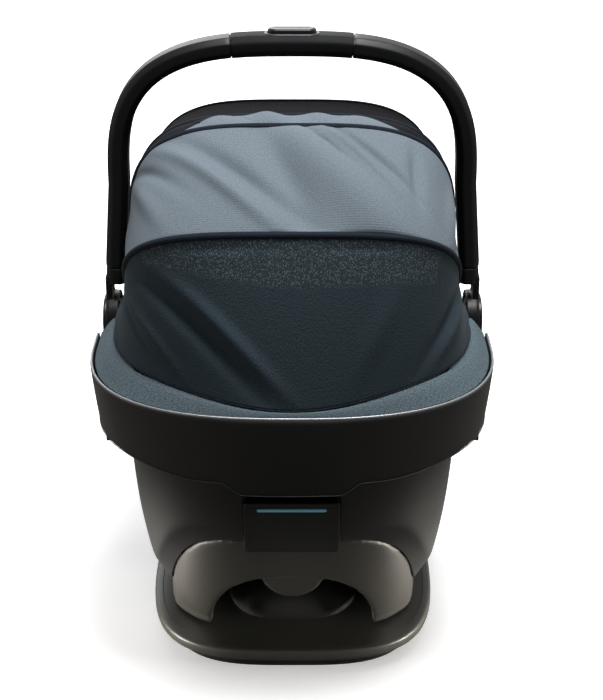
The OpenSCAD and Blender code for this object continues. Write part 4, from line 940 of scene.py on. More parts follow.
def hub_caps():
    """Covers on the hub pins: a turned disc with rounded rim, raised ring and dished middle."""
    profile = np.array([(0, 0.05), (0, 29.6), (1.6, 30), (2.6, 29.7), (3.2, 28.6), (3.4, 26), (3.9, 24.6),
                        (4.1, 23.6), (4.1, 20), (3.9, 18.8), (3.4, 17.8), (3.0, 14), (2.9, 0.05)])
    profile += [HUB_X1 + 0.05, 0]
    for tag in ("l", "r"):
        cap = turned("hub_cap_skin_" + tag, profile)
        if tag == "l":
            mirrored(cap)
        dress(cap, "button_plastic", "handle", "handle_plastic", "hub_cap_" + tag)
    return cap


# ---------- canopy ----------

def cloth_edge(bow, s, off, count):
    """Edge of a panel beside a bow: moved by s along the run of the canopy and by off outwards."""
    half, crown, phi = BOWS[bow]
    line = bow_line(half, crown, count)
    m = outward(line)
    x, r = line[:, 0] + m[:, 0] * off, line[:, 1] + m[:, 1] * off
    return x, np.hypot(r, s), phi + np.degrees(np.arctan2(s, r))


def folds(u, t, lines):
    """Soft creases: each line gives the place along the arch at t = 0 and at t = 1, the width, the height, and
    the middle and spread of its strength along t. It adds a bell curve across the line, faded at both edges."""
    total = 0
    for start, end, width, height, middle, spread in lines:
        total = total + height * hump(u, mix(start, end, t), width) * hump(t, middle, spread)
    return total * np.sin(math.pi * np.clip(t, 0, 1)) ** 0.4


def panel(name, a, b, off, rows, count, short=0):
    """Cloth between two bows, as one sheet with its lining; off lifts it outwards, over rows and columns, and
    short columns are left out at each end."""
    t = np.linspace(0, 1, rows)[:, None]
    sign = -1 if BOWS[a][2] > BOWS[b][2] else 1
    xa, ra, pa = cloth_edge(a, sign * BOW_GAP, off, count)
    xb, rb, pb = cloth_edge(b, -sign * BOW_GAP, off, count)
    grid = in_plane(mix(xa, xb, t), mix(ra, rb, t), 0, mix(pa, pb, t))[:, short:count - short]
    return thicken(surface(name, grid, centre=(0, 0, 345)), 1.5, 0)


def paint(piece, name, values):
    """Stores one value for each grid point of a sheet on both of its sides, for its finish to read."""
    layer = piece.data.attributes.new(name, "FLOAT", "POINT")
    layer.data.foreach_set("value", np.tile(values.astype(np.float32).ravel(), 2))


def mid_panel():
    """Light melange panel between the rear and the middle bow: it sags between them, with diagonal folds."""
    depth = bpy.context.scene.seat_sizes.fold / MM
    t, u = np.linspace(0, 1, 61)[:, None], np.linspace(-1, 1, FINE)[None, :]
    lines = [(-0.03, -0.44, 0.032, 0.9, 0.4, 0.6), (0.06, -0.36, 0.040, -1.0, 0.5, 0.6),
             (0.24, 0.01, 0.095, 1.9, 0.5, 0.8), (0.06, -0.09, 0.050, -1.2, 0.6, 0.7),
             (0.36, 0.035, 0.013, -1.0, 0.9, 0.35), (0.42, 0.085, 0.016, 0.9, 0.85, 0.35),
             (0.50, 0.13, 0.018, -0.9, 0.8, 0.4), (0.37, 0.37, 0.022, -0.8, 0.6, 0.3),
             (-0.16, -0.56, 0.032, -0.6, 0.75, 0.35), (-0.34, -0.60, 0.035, 0.5, 0.4, 0.4),
             (0.50, 0.58, 0.035, 0.8, 0.4, 0.5), (-0.72, -0.70, 0.03, 0.6, 0.5, 0.4)]
    fade = smooth((0.97 - np.abs(u)) / 0.12)
    off = 1.0 + (1.5 * depth * folds(u, t, lines) - 2.6 * np.sin(math.pi * t)) * fade
    piece = panel("canopy_mid", "rear", "mid", off, 61, FINE, short=5)
    dress(piece, "canopy_light", None, "canopy_light", "mid_panel")
    return blended(piece, "rear_bow", "mid_bow", "rear", "mid")


def crown_point(bow):
    """Top of a bow, in metres."""
    _, crown, phi = BOWS[bow]
    return tuple(in_plane(0.0, crown, 0.0, phi) * MM)


def blended(piece, body_a, body_b, bow_a, bow_b):
    """Bakes the panel's placing into its mesh."""
    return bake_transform(piece, body_a, body_b, start=crown_point(bow_a), end=crown_point(bow_b))


def front_panel():
    """Strip between the middle and the front bow: the elastic in its hem draws four lumps up in the middle, and
    the dark cloth of the visor runs over it towards both sides."""
    t, u = np.linspace(0, 1, 41)[:, None], np.linspace(-1, 1, 641)[None, :]
    lumps = [(-0.23, 0.060, 5.0), (-0.075, 0.055, 8.2), (0.085, 0.050, 6.4), (0.215, 0.060, 3.8),
             (0.36, 0.07, 1.4), (-0.38, 0.06, 1.2)]
    gather = sum(h * hump(u + 0.03 * (t - 0.5), c, w) for c, w, h in lumps)
    slits = ((-0.155, 1), (0.01, -1), (0.15, -1), (-0.3, 1))
    crease = sum(0.5 * hump(u + 0.10 * (t - 0.5) * k, c, 0.006) for c, k in slits)
    off = 0.3 + np.sin(math.pi * t) ** 0.7 * (gather - 1.6 * crease)
    piece = panel("canopy_front", "mid", "front", off, 41, 641)
    paint(piece, "light", smooth((1.2 * (1 - (u / 0.34) ** 2) - t) / 0.05 + 0.5))
    dress(piece, "canopy_front", None, "canopy_light", "front_panel")
    return blended(piece, "mid_bow", "front_bow", "mid", "front")


def visor():
    """Dark visor ahead of the front bow, closed by a bound edge: its width narrows towards the hubs."""
    half, crown, phi = BOWS["front"]
    count = WIDE
    back, front = bow_line(half, crown, count), bow_line(half - 11, crown - 4, count)
    t = np.linspace(0, 1, 25)[:, None]
    x, r = mix(back[:, 0], front[:, 0], t), mix(back[:, 1], front[:, 1], t) - 1.6 * np.sin(math.pi * t)
    grid = in_plane(x, r, 0, phi - 0.5 - (VISOR_DEG - 1.1) * t)
    sheet = thicken(surface("canopy_visor", grid, centre=(0, 0, 345)), 1.8, 0)
    edge = grid[-1]
    bound = carried("visor_binding", edge, tapered(oval(2.6, 2.6, 2, 12), count), PIVOT - edge)
    dress(bound, "piping", "front_bow", "canopy_dark")
    return dress(sheet, "canopy_dark", "front_bow", "canopy_dark", "visor")


def pipings():
    """Round piping over each bow, sewn between its two panels, and thin where it runs down to the hub."""
    r = bpy.context.scene.seat_sizes.piping / MM
    for bow, body, grow in (("rear", "rear_bow", 1.0), ("mid", "mid_bow", 1.0), ("front", "front_bow", 0.8)):
        half, crown, phi = BOWS[bow]
        section = tapered(oval(r * grow, r * grow, 2, 16), FINE)
        piece = ribbon("piping_" + bow, bow_line(half, crown, FINE), phi, section, crease=60)
        dress(piece, "piping", body, "canopy_dark")
    return piece


def seam_edge(count):
    """Line of the canopy's seam on the wing pad."""
    a = np.linspace(-math.pi, 0, 2001)
    x = (SEAM_HALF - 1) * spow(np.cos(a), 2 / SEAM_N)
    y = BAND_Y + (SEAM_REACH - 1) * spow(np.sin(a), 2 / SEAM_N) + 14 * np.abs(np.cos(a)) ** 8
    pts = np.stack([x, y, seam_height(x) + 2.5], -1)
    return spaced(pts, count)


def rear_panel():
    """Dark panel from the rear bow down to the wing pad: a band of open spacer mesh under the piping, and plain
    cloth below with folds that run down to the seam."""
    rows, count = 71, FINE
    depth = bpy.context.scene.seat_sizes.fold / MM
    t, u = np.linspace(0, 1, rows)[:, None], np.linspace(-1, 1, count)[None, :]
    x, r, phi = cloth_edge("rear", BOW_GAP, 0.0, count)
    top, foot = in_plane(x, r, 0, phi), seam_edge(count)
    grid = mix(top[None], foot[None], t[..., None])
    grid[..., 0] = mix(top[None, :, 0], foot[None, :, 0], t ** 0.75)
    lines = [(-0.58, -0.08, 0.042, -1.5, 0.55, 0.45), (-0.48, 0.02, 0.036, 1.0, 0.6, 0.35),
             (-0.79, -0.43, 0.030, -1.0, 0.5, 0.3), (-0.70, -0.34, 0.028, 0.6, 0.6, 0.3),
             (0.70, 0.42, 0.030, -1.5, 0.5, 0.35), (0.77, 0.50, 0.026, 1.1, 0.6, 0.3),
             (0.36, 0.20, 0.040, 0.5, 0.6, 0.3), (-0.88, -0.80, 0.03, 0.7, 0.5, 0.4),
             (0.88, 0.80, 0.03, 0.7, 0.5, 0.4)]
    swell = 3.0 * np.sin(math.pi * t) + depth * folds(u, t, lines)
    wrinkle = hump(u, -0.2, 0.13) + hump(u, 0.19, 0.1)
    stitched = 1.2 * hump(t, 0.065, 0.025) * wrinkle
    away = grid - np.array([0, 0, 330.0])
    away /= np.linalg.norm(away, axis=2)[..., None]
    grid = grid + away * (swell - stitched)[..., None]
    sheet = surface("canopy_rear", grid, centre=(0, 0, 330))
    # Band of spacer mesh under the piping, which is also where its finish puts the painted glints.
    foot_of_knit_and_glints = 0.31 - np.where(u < 0, 0.9, 0.15) * u ** 2
    knit_and_glints = smooth((foot_of_knit_and_glints - t) / 0.05) * smooth((0.455 - np.abs(u)) / 0.012)
    thicken(sheet, 1.6, 0)
    paint(sheet, "knit_and_glints", knit_and_glints)
    dress(sheet, "knit_and_glints", None, "canopy_dark", "rear_panel")
    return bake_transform(sheet, "seat", "rear_bow", start=tuple(seam_edge(3)[1] * MM), end=crown_point("rear"))


def seam_binding():
    """Binding that covers the seam between canopy and wing pad."""
    path = seam_edge(FINE) + [0, 0, -0.6]
    piece = carried("seam_binding", path, tapered(oval(1.2, 1.6, 2, 12), FINE), (0, 0, 1))
    return dress(piece, "piping", "seat", "canopy_dark")


# ---------- release lever, dock ----------

def lever_skins():
    """Release lever in its slot: a plate with rounded corners, a bevelled edge and a faint dish, and a blue
    insert near its top."""
    edge = [(-1, 1), (0, 0.2), (0, -2.2), (-0.35, -2.9), (-1.1, -3.2), (-2.4, -3.0), (-3.4, -2.6), (-5, -2.55)]
    plate = slab("lever_skin", (-LEVER_HALF, LEVER_HALF), (LEVER_LOW, LEVER_TOP), 5, edge, ON_WALL, crease=35)
    dress(plate, "shell_plastic", "lever", "shell_plastic", "lever_panel")
    edge = [(-0.2, -2.2), (0, -2.4), (0, -3.1), (-0.3, -3.4), (-0.9, -3.55)]
    stripe = slab("lever_insert", (-STRIPE_HALF, STRIPE_HALF), (STRIPE_Z - 2, STRIPE_Z + 2), 1.9, edge, ON_WALL,
                  crease=35)
    return dress(stripe, "accent_blue", "lever", "accent_blue", "lever_stripe")


def loft(name, half_w, y0, y1, n, rows, count=220):
    """Superellipse rings stacked along Z: rows are (inset, height)."""
    a = np.linspace(0, 2 * math.pi, 4001)[:-1]
    length, middle = (y1 - y0) / 2, (y1 + y0) / 2
    pts = np.stack(outline(a, half_w, length, length, n), -1)
    at = np.interp(even(pts, count, True), np.arange(4001), np.append(a, 2 * math.pi))
    grid = []
    for inset, z in rows:
        x, y = outline(at, half_w - inset, length - inset, length - inset, n)
        grid.append(np.stack([x, y + middle, np.full(count, float(z))], -1))
    return surface(name, np.array(grid), TUBE, True, crease=32)


def box_piece(name, lo, hi):
    """A plain block between two corners, used as a cutter."""
    (x0, y0, z0), (x1, y1, z1) = lo, hi
    grid = np.array([[[x, y, z] for x, y in ((x0, y0), (x1, y0), (x1, y1), (x0, y1))] for z in (z0, z1)], float)
    return surface(name, grid, TUBE, True)


def stand():
    """Stand: a tray with a rolled edge and a shallow step on top, a plinth that narrows to the floor, and a
    pedestal with flared sides whose pockets hold the two latch bars."""
    z1, z0 = TRAY_Z, TRAY_Z - TRAY_T
    edge = [(3, z0), (1.5, z0 + 0.5), (0.5, z0 + 1.6), (0, z0 + 3.4), (0, z1 - 3), (0.3, z1 - 1.6),
            (1.0, z1 - 0.7), (2.2, z1 - 0.2), (3.6, z1), (9, z1), (9.6, z1 - TRAY_STEP), (40, z1 - TRAY_STEP)]
    tray = loft("tray_skin", TRAY_HALF_W, -TRAY_HALF_L, TRAY_HALF_L, TRAY_N, edge)
    dress(tray, "dock_plastic", "dock", "dock_plastic", "dock_tray")
    foot = [(PLINTH_IN + d, z) for d, z in ((6, 2), (3.6, 3.2), (1.6, 6), (0.5, 10), (0, 14), (0, z0))]
    plinth = loft("plinth_skin", TRAY_HALF_W, -TRAY_HALF_L, TRAY_HALF_L, TRAY_N, foot)
    pads = [(0, 0)] + [(x * (TRAY_HALF_W - 70), y * (TRAY_HALF_L - 80)) for x in (-1, 1) for y in (-1, 1)]
    half = FOOT_PAD_HALF
    for x, y in pads:
        cut_away(plinth, box_piece("foot_cut", (x - half, y - half, 0), (x + half, y + half, 3.0)))
    # Painted shade: the plinth's darker finish stands in for the shade under the tray.
    dress(plinth, "plinth", "dock", "dock_plastic", "dock_plinth")
    top = high("dock_pedestal")[2]
    rise = top - z1
    t = np.linspace(0, 1, 16)
    flare = [(30 * s ** 2.6, z1 - TRAY_STEP + rise * s + TRAY_STEP * s) for s in t] + [(34, top)]
    block = loft("pedestal_skin", PEDESTAL_HALF, *PEDESTAL_Y, PEDESTAL_N, flare, 160)
    for y in BAR_Y:
        cut_away(block, box_piece("jaw_cut", (-13, y - 13, top - 20), (13, y + 13, top + 9)))
        cut_away(block, box_piece("bar_cut", (-48, y - 4.1, top - 12.1), (48, y + 4.1, top + 9)))
    # Painted shade: the pedestal's darker finish stands in for the shade under the seat.
    return dress(block, "pedestal", "dock", "dock_plastic", "dock_pedestal")


# ---------- liner and harness ----------

BACK_TILT = math.atan(BACK_SLOPE)
BUCKLE_Y, BUCKLE_Z, BUCKLE_TILT = 62.0, 160.0, math.radians(65)
HEAD_TOP, HEAD_H, HEAD_HALF = 62.0, 140.0, 105.0
STRAP_HALF, WEB_W, WEB_T = 38.0, 25.0, 1.5
PAD_TOP = 344.0
ADJUSTER_Y, ADJUSTER_Z, ADJUSTER_TILT = 263.2, 251.3, math.radians(37.33)


def seat_pad():
    """Quilted liner of the hollow: a closed skin whose face swells between sewn channels, which run down the
    back, across it and round the sides, with a folded edge at the rim."""
    count = 240
    a = shell_angles(count)[None, :]
    levels = CAVITY_Z0 + (PAD_TOP - CAVITY_Z0) * np.linspace(1, 0, 70) ** 1.25
    face, column = [], np.arange(count)[None, :] / count
    for z in levels:
        s = (z - CAVITY_Z0) / (RIM_Z - CAVITY_Z0)
        run = np.abs(np.sin(math.pi * 10 * column)) ** 0.35
        across = 1 - 0.9 * sum(math.exp(-((s - c) / 0.012) ** 2) for c in (0.28, 0.56, 0.84))
        puff = 4.2 * run * across * (1 - s ** 8)
        face.append(cavity_ring(a, np.float64(z), 1.5 - puff))
    bottom = face[-1]
    centre = bottom.mean(axis=1, keepdims=True)
    floor = [mix(bottom, centre, t) + [0, 0, 2.2 * math.sin(math.pi * t)]
             for t in (0.04, 0.1, 0.2, 0.35, 0.55, 0.8)]
    back = [cavity_ring(a, np.float64(z), 9.4 if z > 122 else 7.2) for z in levels[::-5]]
    under = [mix(back[0], back[0].mean(axis=1, keepdims=True), t) for t in (0.8, 0.4, 0.15)]
    hem = [shell_point(a, RIM_Z, 22) * [1, 1, 0] + (rim_at(a) + h)[..., None] * [0, 0, 1] for h in (-0.7, 0.25)]
    hem.append(cavity_ring(a, np.float64(PAD_TOP), 5.0) + [0, 0, 1.5])
    grid = np.concatenate(face + floor + under + back + hem)
    pad = surface("seat_pad_skin", grid, RING, crease=75)
    return dress(pad, "pad_fabric", "seat", "pad_fabric", "seat_pad")


def on_back(x, s, d):
    """Place on the flat of the reclined back: s down it and d off it."""
    x, s, d = np.broadcast_arrays(x, s, d)
    return np.stack([x, BACK_Y + s * math.sin(BACK_TILT) + d * math.cos(BACK_TILT),
                     RIM_Z - s * math.cos(BACK_TILT) + d * math.sin(BACK_TILT)], -1)


def over_back(x, s, d):
    """Place over the pad's curved back: x across, s down it, d off it."""
    x, s, d = np.broadcast_arrays(x, s, d)
    z = RIM_Z - s * math.cos(BACK_TILT)
    y0, y1 = BACK_Y + (RIM_Z - z) * BACK_SLOPE, CALF_Y - (RIM_Z - z) * CALF_SLOPE
    half = CAVITY_HALF * ((z - CAVITY_Z0 + 46) / (RIM_Z - CAVITY_Z0 + 46)) ** 0.3
    y = (y0 + y1) / 2 - (y1 - y0) / 2 * (1 - (np.abs(x) / half) ** CAVITY_N) ** (1 / CAVITY_N)
    return np.stack([x, y + d * math.cos(BACK_TILT), z + d * math.sin(BACK_TILT)], -1)


def headrest_pad():
    """Headrest: a flat middle between two raised wings, rounded over at its ends, stuffed, with a channel at
    the foot of each wing."""
    places, heights = [-1.02, -0.9, -0.74, -0.5, 0, 0.5, 0.74, 0.9, 1.02], [46, 55, 39, 26, 20, 26, 39, 55, 46]
    q = np.linspace(-1.0, 1.0, 97)
    height = np.interp(q, places, heights)
    height = np.convolve(np.pad(height, 4, mode="edge"), np.ones(9) / 9, mode="valid")
    height = height - 2.2 * hump(np.abs(q), 0.5, 0.02)
    rows = []
    for e in np.sin(np.linspace(-math.pi / 2, math.pi / 2, 49)):
        s = HEAD_TOP + HEAD_H / 2 * (1 + e)
        half = HEAD_HALF - 14 * e ** 6
        lift = math.sqrt(max(0.0, 1 - abs(e) ** 8))
        lower = over_back(half * q * 0.94, s, 7.0)
        upper = on_back(half * q, s, height * 0.97)
        rows.append(np.concatenate([mix(lower, upper, max(lift, 0.12)), lower[::-1]]))
    pad = surface("headrest_skin", np.array(rows), TUBE, True, crease=80)
    puffed(pad, 0.0045)
    return dress(pad, "pad_soft", "headrest", "pad_fabric", "headrest_pad")


def puffed(piece, voxel):
    """Stuffs a pad: its skin is remeshed evenly, blown up as cloth from inside, and no point moves further
    than the padding size allows."""
    remesh = piece.modifiers.new("even", "REMESH")
    remesh.mode, remesh.voxel_size, remesh.use_smooth_shade = "VOXEL", voxel, True
    settle(piece)
    rest = np.empty(len(piece.data.vertices) * 3)
    piece.data.vertices.foreach_get("co", rest)
    cloth = piece.modifiers.new("stuffing", "CLOTH").settings
    cloth.use_pressure, cloth.uniform_pressure_force, cloth.quality = True, 3.0, 6
    cloth.mass, cloth.bending_stiffness, cloth.effector_weights.gravity = 0.3, 0.6, 0.0
    for step in range(1, 21):
        bpy.context.scene.frame_set(step)
    settle(piece)
    moved = np.empty(len(rest))
    piece.data.vertices.foreach_get("co", moved)
    shift = (moved - rest).reshape(-1, 3)
    reach = np.linalg.norm(shift, axis=1)[:, None]
    most = bpy.context.scene.seat_sizes.puff
    shift *= np.minimum(1, most / np.maximum(reach, 1e-9))
    piece.data.vertices.foreach_set("co", rest + shift.ravel())
    bpy.context.scene.frame_set(1)
    soft = piece.modifiers.new("soft", "SUBSURF")
    soft.levels = soft.render_levels = 1
    return settle(piece)


def bent(points):
    """Smooth curve through given points: a Catmull-Rom spline, evenly spaced."""
    p = np.asarray(points, float)
    p = np.vstack([2 * p[0] - p[1], p, 2 * p[-1] - p[-2]])
    t = np.linspace(0, 1, 24, endpoint=False)[:, None]
    parts = [0.5 * (2 * b + (c - a) * t + (2 * a - 5 * b + 4 * c - d) * t ** 2
                    + (3 * b - a - 3 * c + d) * t ** 3)
             for a, b, c, d in zip(p[:-3], p[1:-2], p[2:-1], p[3:])]
    return spaced(np.vstack(parts + [p[-2:-1]]), BEND)


def strap(name, points, across, width):
    """Webbing along a route: a flat section with rounded edges whose width lies along `across`."""
    piece = carried(name, bent(points), oval(width / 2, WEB_T / 2, 6, 28)[None], across, crease=60)
    return dress(piece, "webbing", "seat", "webbing")


def at_buckle(x, y, z):
    """Place beside the buckle: x across, z towards the shoulders, y up off its face."""
    return np.array([x, BUCKLE_Y - z * math.sin(BUCKLE_TILT) + y * math.cos(BUCKLE_TILT),
                     BUCKLE_Z + z * math.cos(BUCKLE_TILT) + y * math.sin(BUCKLE_TILT)])


def harness():
    """Harness webbing: two shoulder straps with pads, two lap straps and the crotch strap."""
    out = HEAD_TOP + HEAD_H + 14
    for side, tag in ((-1, "l"), (1, "r")):
        flip = np.array([side, 1, 1])
        up = [on_back(STRAP_HALF, out, 5), on_back(STRAP_HALF, out + 2, 13),
              on_back(STRAP_HALF - 2, out + 12, 20), on_back(STRAP_HALF - 8, out + 44, 30),
              on_back(STRAP_HALF - 16, out + 76, 41), at_buckle(14, -2.8, 27)]
        across = np.array([side, 0.14, 0.0])
        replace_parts(strap("shoulder_strap_" + tag, np.array(up) * flip, across, WEB_W), "shoulder_straps")
        lap = [(101, 44, 152), (86, 46, 158), (60, 46, 162), at_buckle(23.6, -2.8, 12)]
        flat = np.array([0, math.sin(BUCKLE_TILT), -math.cos(BUCKLE_TILT)])
        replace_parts(strap("lap_strap_" + tag, np.array(lap) * flip, flat, WEB_W), "lap_straps")
        middle = [on_back(STRAP_HALF - 2, out + 14, 24.6), on_back(STRAP_HALF - 8, out + 44, 34),
                  on_back(STRAP_HALF - 15, out + 72, 43.8)]
        line = bent(np.array(middle) * flip)
        swell = 1 - 0.22 * np.abs(np.linspace(-1, 1, BEND)) ** 6
        stitch = 1 - 0.3 * np.clip(sum(hump(np.linspace(0, 1, BEND), c, 0.02) for c in (0.33, 0.66)), 0, 1)
        shape = np.stack([swell, stitch], -1)[:, None, :]
        section = tapered(oval((WEB_W + 9) / 2, 2.7, 3.4, 36), BEND, 24) * shape
        pad = carried("shoulder_pad_" + tag, line, section, across, crease=70)
        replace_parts(dress(pad, "pad_fabric", "seat", "pad_fabric"), "shoulder_pads")
    route = [(0, BUCKLE_Y + 34, CAVITY_Z0 + 3.5), (0, BUCKLE_Y + 33, CAVITY_Z0 + 16), at_buckle(0, -1, -26.6)]
    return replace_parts(strap("crotch_webbing", route, (1, 0, 0), WEB_W + 8), "crotch_strap")


def soft_edges(y0, y1, r):
    """Rows of a slab whose two faces are rounded off by r."""
    w = np.linspace(0, math.pi / 2, 5)
    return ([(-r * (1 - math.sin(v)) - 0.01, y0 + r * (1 - math.cos(v))) for v in w]
            + [(-r * (1 - math.cos(v)) - 0.01, y1 - r * (1 - math.sin(v))) for v in w])


def buckle():
    """Buckle: a rounded housing with a stepped throat for the two tongues and a recess for its red button."""
    place = tilted(BUCKLE_Y, BUCKLE_Z, BUCKLE_TILT)
    body = slab("buckle_skin", (-23, 23), (-26, 14), 9, soft_edges(-8, 6, 3), place)
    neck = slab("buckle_neck", (-17, 17), (-10, 18), 4, soft_edges(-7.4, 5.2, 2.4), place)
    for part in (body, neck):
        cut_away(part, slab("button_cut", (-15.4, 15.4), (-15.4, 3.4), 3, [(0, -1.2), (0, 9)], place))
        for x in (-13, 13):
            cut_away(part, slab("throat", (x - 9.5, x + 9.5), (6, 26), 1, [(0, -4.6), (0, -1)], place))
    skin = joined("buckle_skin", [body, neck])
    dress(skin, "button_plastic", "seat", "shell_plastic", "buckle_body")
    rows = [(-0.5, 3.4 - 2.1), (0, 1.8), (0, 6.4), (-0.7, 7.2), (-2.2, 7.55), (-5, 7.3)]
    button = slab("buckle_press_pad", (-14.9, 14.9), (-14.9, 2.9), 2.8, rows, place)
    return dress(button, "buckle_red", "buckle_button", "buckle_red", "buckle_button")


def adjuster():
    """Harness adjuster on the calf slope: a rounded housing, hollow for its lever and open at both ends for the
    webbing, whose tail runs out of it towards the foot."""
    place = tilted(ADJUSTER_Y, ADJUSTER_Z, ADJUSTER_TILT, -1)
    body = slab("adjuster_skin", (-22, 22), (-20, 20), 4, soft_edges(2, 14, 2), place)
    cut_away(body, slab("hollow", (-16, 16), (-14, 14), 2, [(0, 4.9), (0, 16.9)], place))
    cut_away(body, slab("throat", (-14, 14), (-22, 22), 0.5, [(0, 1), (0, 5.2)], place))
    dress(body, "button_plastic", "seat", "shell_plastic", "adjuster_housing")
    route = [(0, 3.8, 12), (0, 3.8, -6), (0, 3.8, -22), (0, 5, -34), (0, 8, -50), (0, 12, -76)]
    route = place(np.array(route, float))
    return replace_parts(strap("adjuster_webbing", route, (1, 0, 0), WEB_W), "adjuster_strap")


# ---------- stage ----------

def stage():
    """White studio. The floor shows white to the camera, a little greyer near the seat, and to other rays it is
    dark under the seat and lighter at its sides. A soft light hangs above and a weak one behind, two low spots
    graze the legs, and the surroundings are bright behind the seat and dim in front of it."""
    scene = bpy.context.scene
    floor = surface("floor", np.array([[[x, y, -0.2] for x in (-6000, 6000)] for y in (-6000, 6000)], float))
    material, tree, shader = finish_of("studio_floor", Roughness=0.95)
    white = linear("#ffffff")
    seen = add(tree, "LightPath", {}).outputs["Is Camera Ray"]
    place = add(tree, "TexCoord", {}).outputs["Object"]
    x = add(tree, "SeparateXYZ", {0: place}).outputs["X"]
    side = add(tree, "Math", {0: x}, operation="ABSOLUTE").outputs[0]
    bounce = add(tree, "ValToRGB", {0: side}, [(0.08, linear("#4a4743")), (0.45, linear("#7d7872"))])
    tone = add(tree, "Mix", {0: seen, 6: bounce.outputs[0], 7: white}, data_type="RGBA")
    tree.links.new(tone.outputs[2], shader.inputs["Base Color"])
    away = add(tree, "VectorMath", {0: place}, operation="LENGTH").outputs["Value"]
    far = add(tree, "MapRange", {0: away, 1: 0.3, 2: 1.2, 3: 0.35, 4: 1.0}).outputs[0]
    shader.inputs["Emission Color"].default_value = white
    glow = add(tree, "Math", {0: far, 1: seen}, operation="MULTIPLY")
    tree.links.new(glow.outputs[0], shader.inputs["Emission Strength"])
    floor.data.materials.append(material)
    world = bpy.data.worlds.new("studio")
    scene.world = world
    world.use_nodes = True
    tree = world.node_tree
    sky = tree.nodes["Background"]
    way = add(tree, "SeparateXYZ", {0: add(tree, "TexCoord", {}).outputs["Generated"]}).outputs["Y"]
    share = add(tree, "MapRange", {0: way, 1: -1.0, 2: 1.0}).outputs[0]
    glow = add(tree, "ValToRGB", {0: share}, [(0.25, 0.13), (0.7, 0.8)]).outputs[0]
    seen = add(tree, "LightPath", {}).outputs["Is Camera Ray"]
    strength = add(tree, "Mix", {0: seen, 2: glow, 3: 1.0}).outputs[0]
    sky.inputs[0].default_value = white
    tree.links.new(strength, sky.inputs[1])
    for name, kind, place, aim, size, power in (
            ("top", "AREA", (0.25, -0.3, 2.7), (0, 0, 0.4), 0.9, 60),
            ("behind", "AREA", (-0.5, 2.6, 1.5), (0, 0.1, 0.25), 1.6, 20),
            ("low_left", "SPOT", (-0.62, -0.22, 0.02), (-0.14, -0.13, 0.05), 0.12, 138),
            ("low_right", "SPOT", (0.62, -0.22, 0.02), (0.14, -0.13, 0.05), 0.12, 135)):
        light = bpy.data.lights.new(name, kind)
        light.energy, light.color = power, (1, 1, 1) if kind == "AREA" else (1, 0.94, 0.86)
        if kind == "AREA":
            light.size = size
        else:
            light.shadow_soft_size, light.spot_size, light.spot_blend = size, math.radians(28), 1.0
        lamp = bpy.data.objects.new(name, light)
        lamp.location = place
        lamp.rotation_euler = (Vector(aim) - Vector(place)).to_track_quat("-Z", "Y").to_euler()
        scene.collection.objects.link(lamp)
    camera = bpy.data.objects.new("camera", bpy.data.cameras.new("camera"))
    camera.data.lens, camera.data.sensor_width = 82.53, 36
    camera.data.clip_end = 50
    camera.location, camera.rotation_euler = (0.01006, -1.6822, 1.0515), (math.radians(66), 0, 0)
    scene.collection.objects.link(camera)
    scene.camera = camera
    scene.view_settings.view_transform = "Standard"
    return floor


def finish_nodes():
    """Gives every CAD node that still shows the finish of its slot in the record."""
    slots = {part["node"]: part["material_slot"] for part in frame["record"]["subparts"]}
    for name, node in frame["nodes"].items():
        for place in node.material_slots:
            place.material = FINISHES[slots[name]]


# ---------- add-on ----------

def run(*makers):
    """Runs the makers in order, and says that the step is finished."""
    for make in makers:
        make()
    return {"FINISHED"}


class CARSEAT_OT_shell(bpy.types.Operator):
    """Make the shell, the rocker base, the wing band with its bead, the wing pad and the rim cover"""
    bl_idname = "carseat.shell"
    bl_label = "Shell and band"

    def execute(self, context):
        return run(shell_skin, rocker_skin, wing_band, wing_bead, wing_pad, rim_cover)


class CARSEAT_OT_handle(bpy.types.Operator):
    """Make the handle, its grip and release button, its feet and the hub covers"""
    bl_idname = "carseat.handle"
    bl_label = "Handle"

    def execute(self, context):
        return run(handle_skin, grip_skin, grip_button, leg_skins, hub_caps)


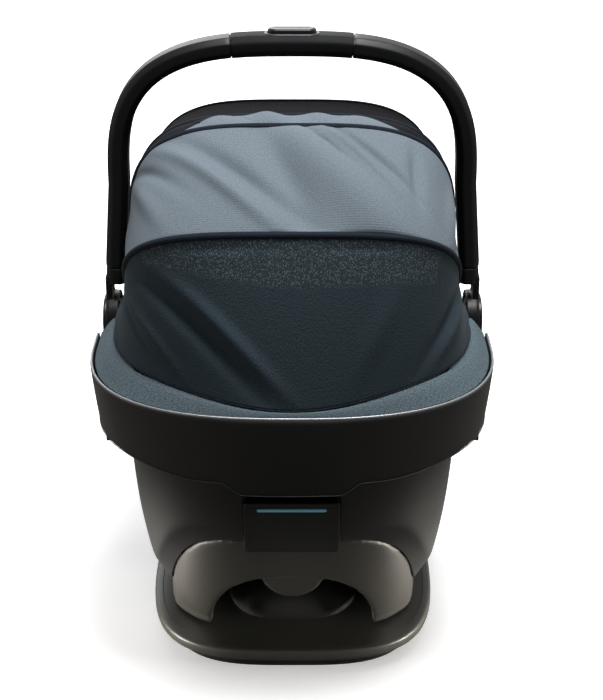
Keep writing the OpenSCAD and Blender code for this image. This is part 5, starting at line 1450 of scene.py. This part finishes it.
class CARSEAT_OT_canopy(bpy.types.Operator):
    """Make the canopy's panels, visor, pipings and seam binding"""
    bl_idname = "carseat.canopy"
    bl_label = "Canopy"

    def execute(self, context):
        return run(rear_panel, mid_panel, front_panel, visor, pipings, seam_binding)


class CARSEAT_OT_liner(bpy.types.Operator):
    """Make the quilted liner, the stuffed headrest, the harness webbing, the buckle and the adjuster"""
    bl_idname = "carseat.liner"
    bl_label = "Liner and harness"

    def execute(self, context):
        return run(seat_pad, headrest_pad, harness, buckle, adjuster)


class CARSEAT_OT_stand(bpy.types.Operator):
    """Make the stand and the release lever"""
    bl_idname = "carseat.stand"
    bl_label = "Stand and lever"

    def execute(self, context):
        return run(stand, lever_skins)


class CARSEAT_OT_stage(bpy.types.Operator):
    """Give the remaining parts their finishes and set up the floor, lights and camera"""
    bl_idname = "carseat.stage"
    bl_label = "Finishes and stage"

    def execute(self, context):
        return run(finish_nodes, stage)


class CARSEAT_PT_panel(bpy.types.Panel):
    """Sizes, colours and steps of the car seat"""
    bl_idname = "CARSEAT_PT_panel"
    bl_label = "Infant Car Seat"
    bl_space_type = "VIEW_3D"
    bl_region_type = "UI"
    bl_category = "Car Seat"

    def draw(self, context):
        for group in (context.scene.seat_sizes, context.scene.seat_colours):
            for key in group.__annotations__:
                self.layout.prop(group, key)
        for step in STEPS:
            self.layout.operator(step.bl_idname)


STEPS = (CARSEAT_OT_shell, CARSEAT_OT_handle, CARSEAT_OT_canopy, CARSEAT_OT_liner, CARSEAT_OT_stand,
         CARSEAT_OT_stage)
CLASSES = (CarSeatColours, CarSeatSizes, *STEPS, CARSEAT_PT_panel)


def register():
    for cls in CLASSES:
        bpy.utils.register_class(cls)
    bpy.types.Scene.seat_colours = PointerProperty(type=CarSeatColours)
    bpy.types.Scene.seat_sizes = PointerProperty(type=CarSeatSizes)


def unregister():
    del bpy.types.Scene.seat_sizes
    del bpy.types.Scene.seat_colours
    for cls in reversed(CLASSES):
        bpy.utils.unregister_class(cls)


def main():
    register()
    FINISHES.update(make_finishes())
    for step in STEPS:
        group, name = step.bl_idname.split(".")
        getattr(getattr(bpy.ops, group), name)()


if __name__ == "__main__":
    main()
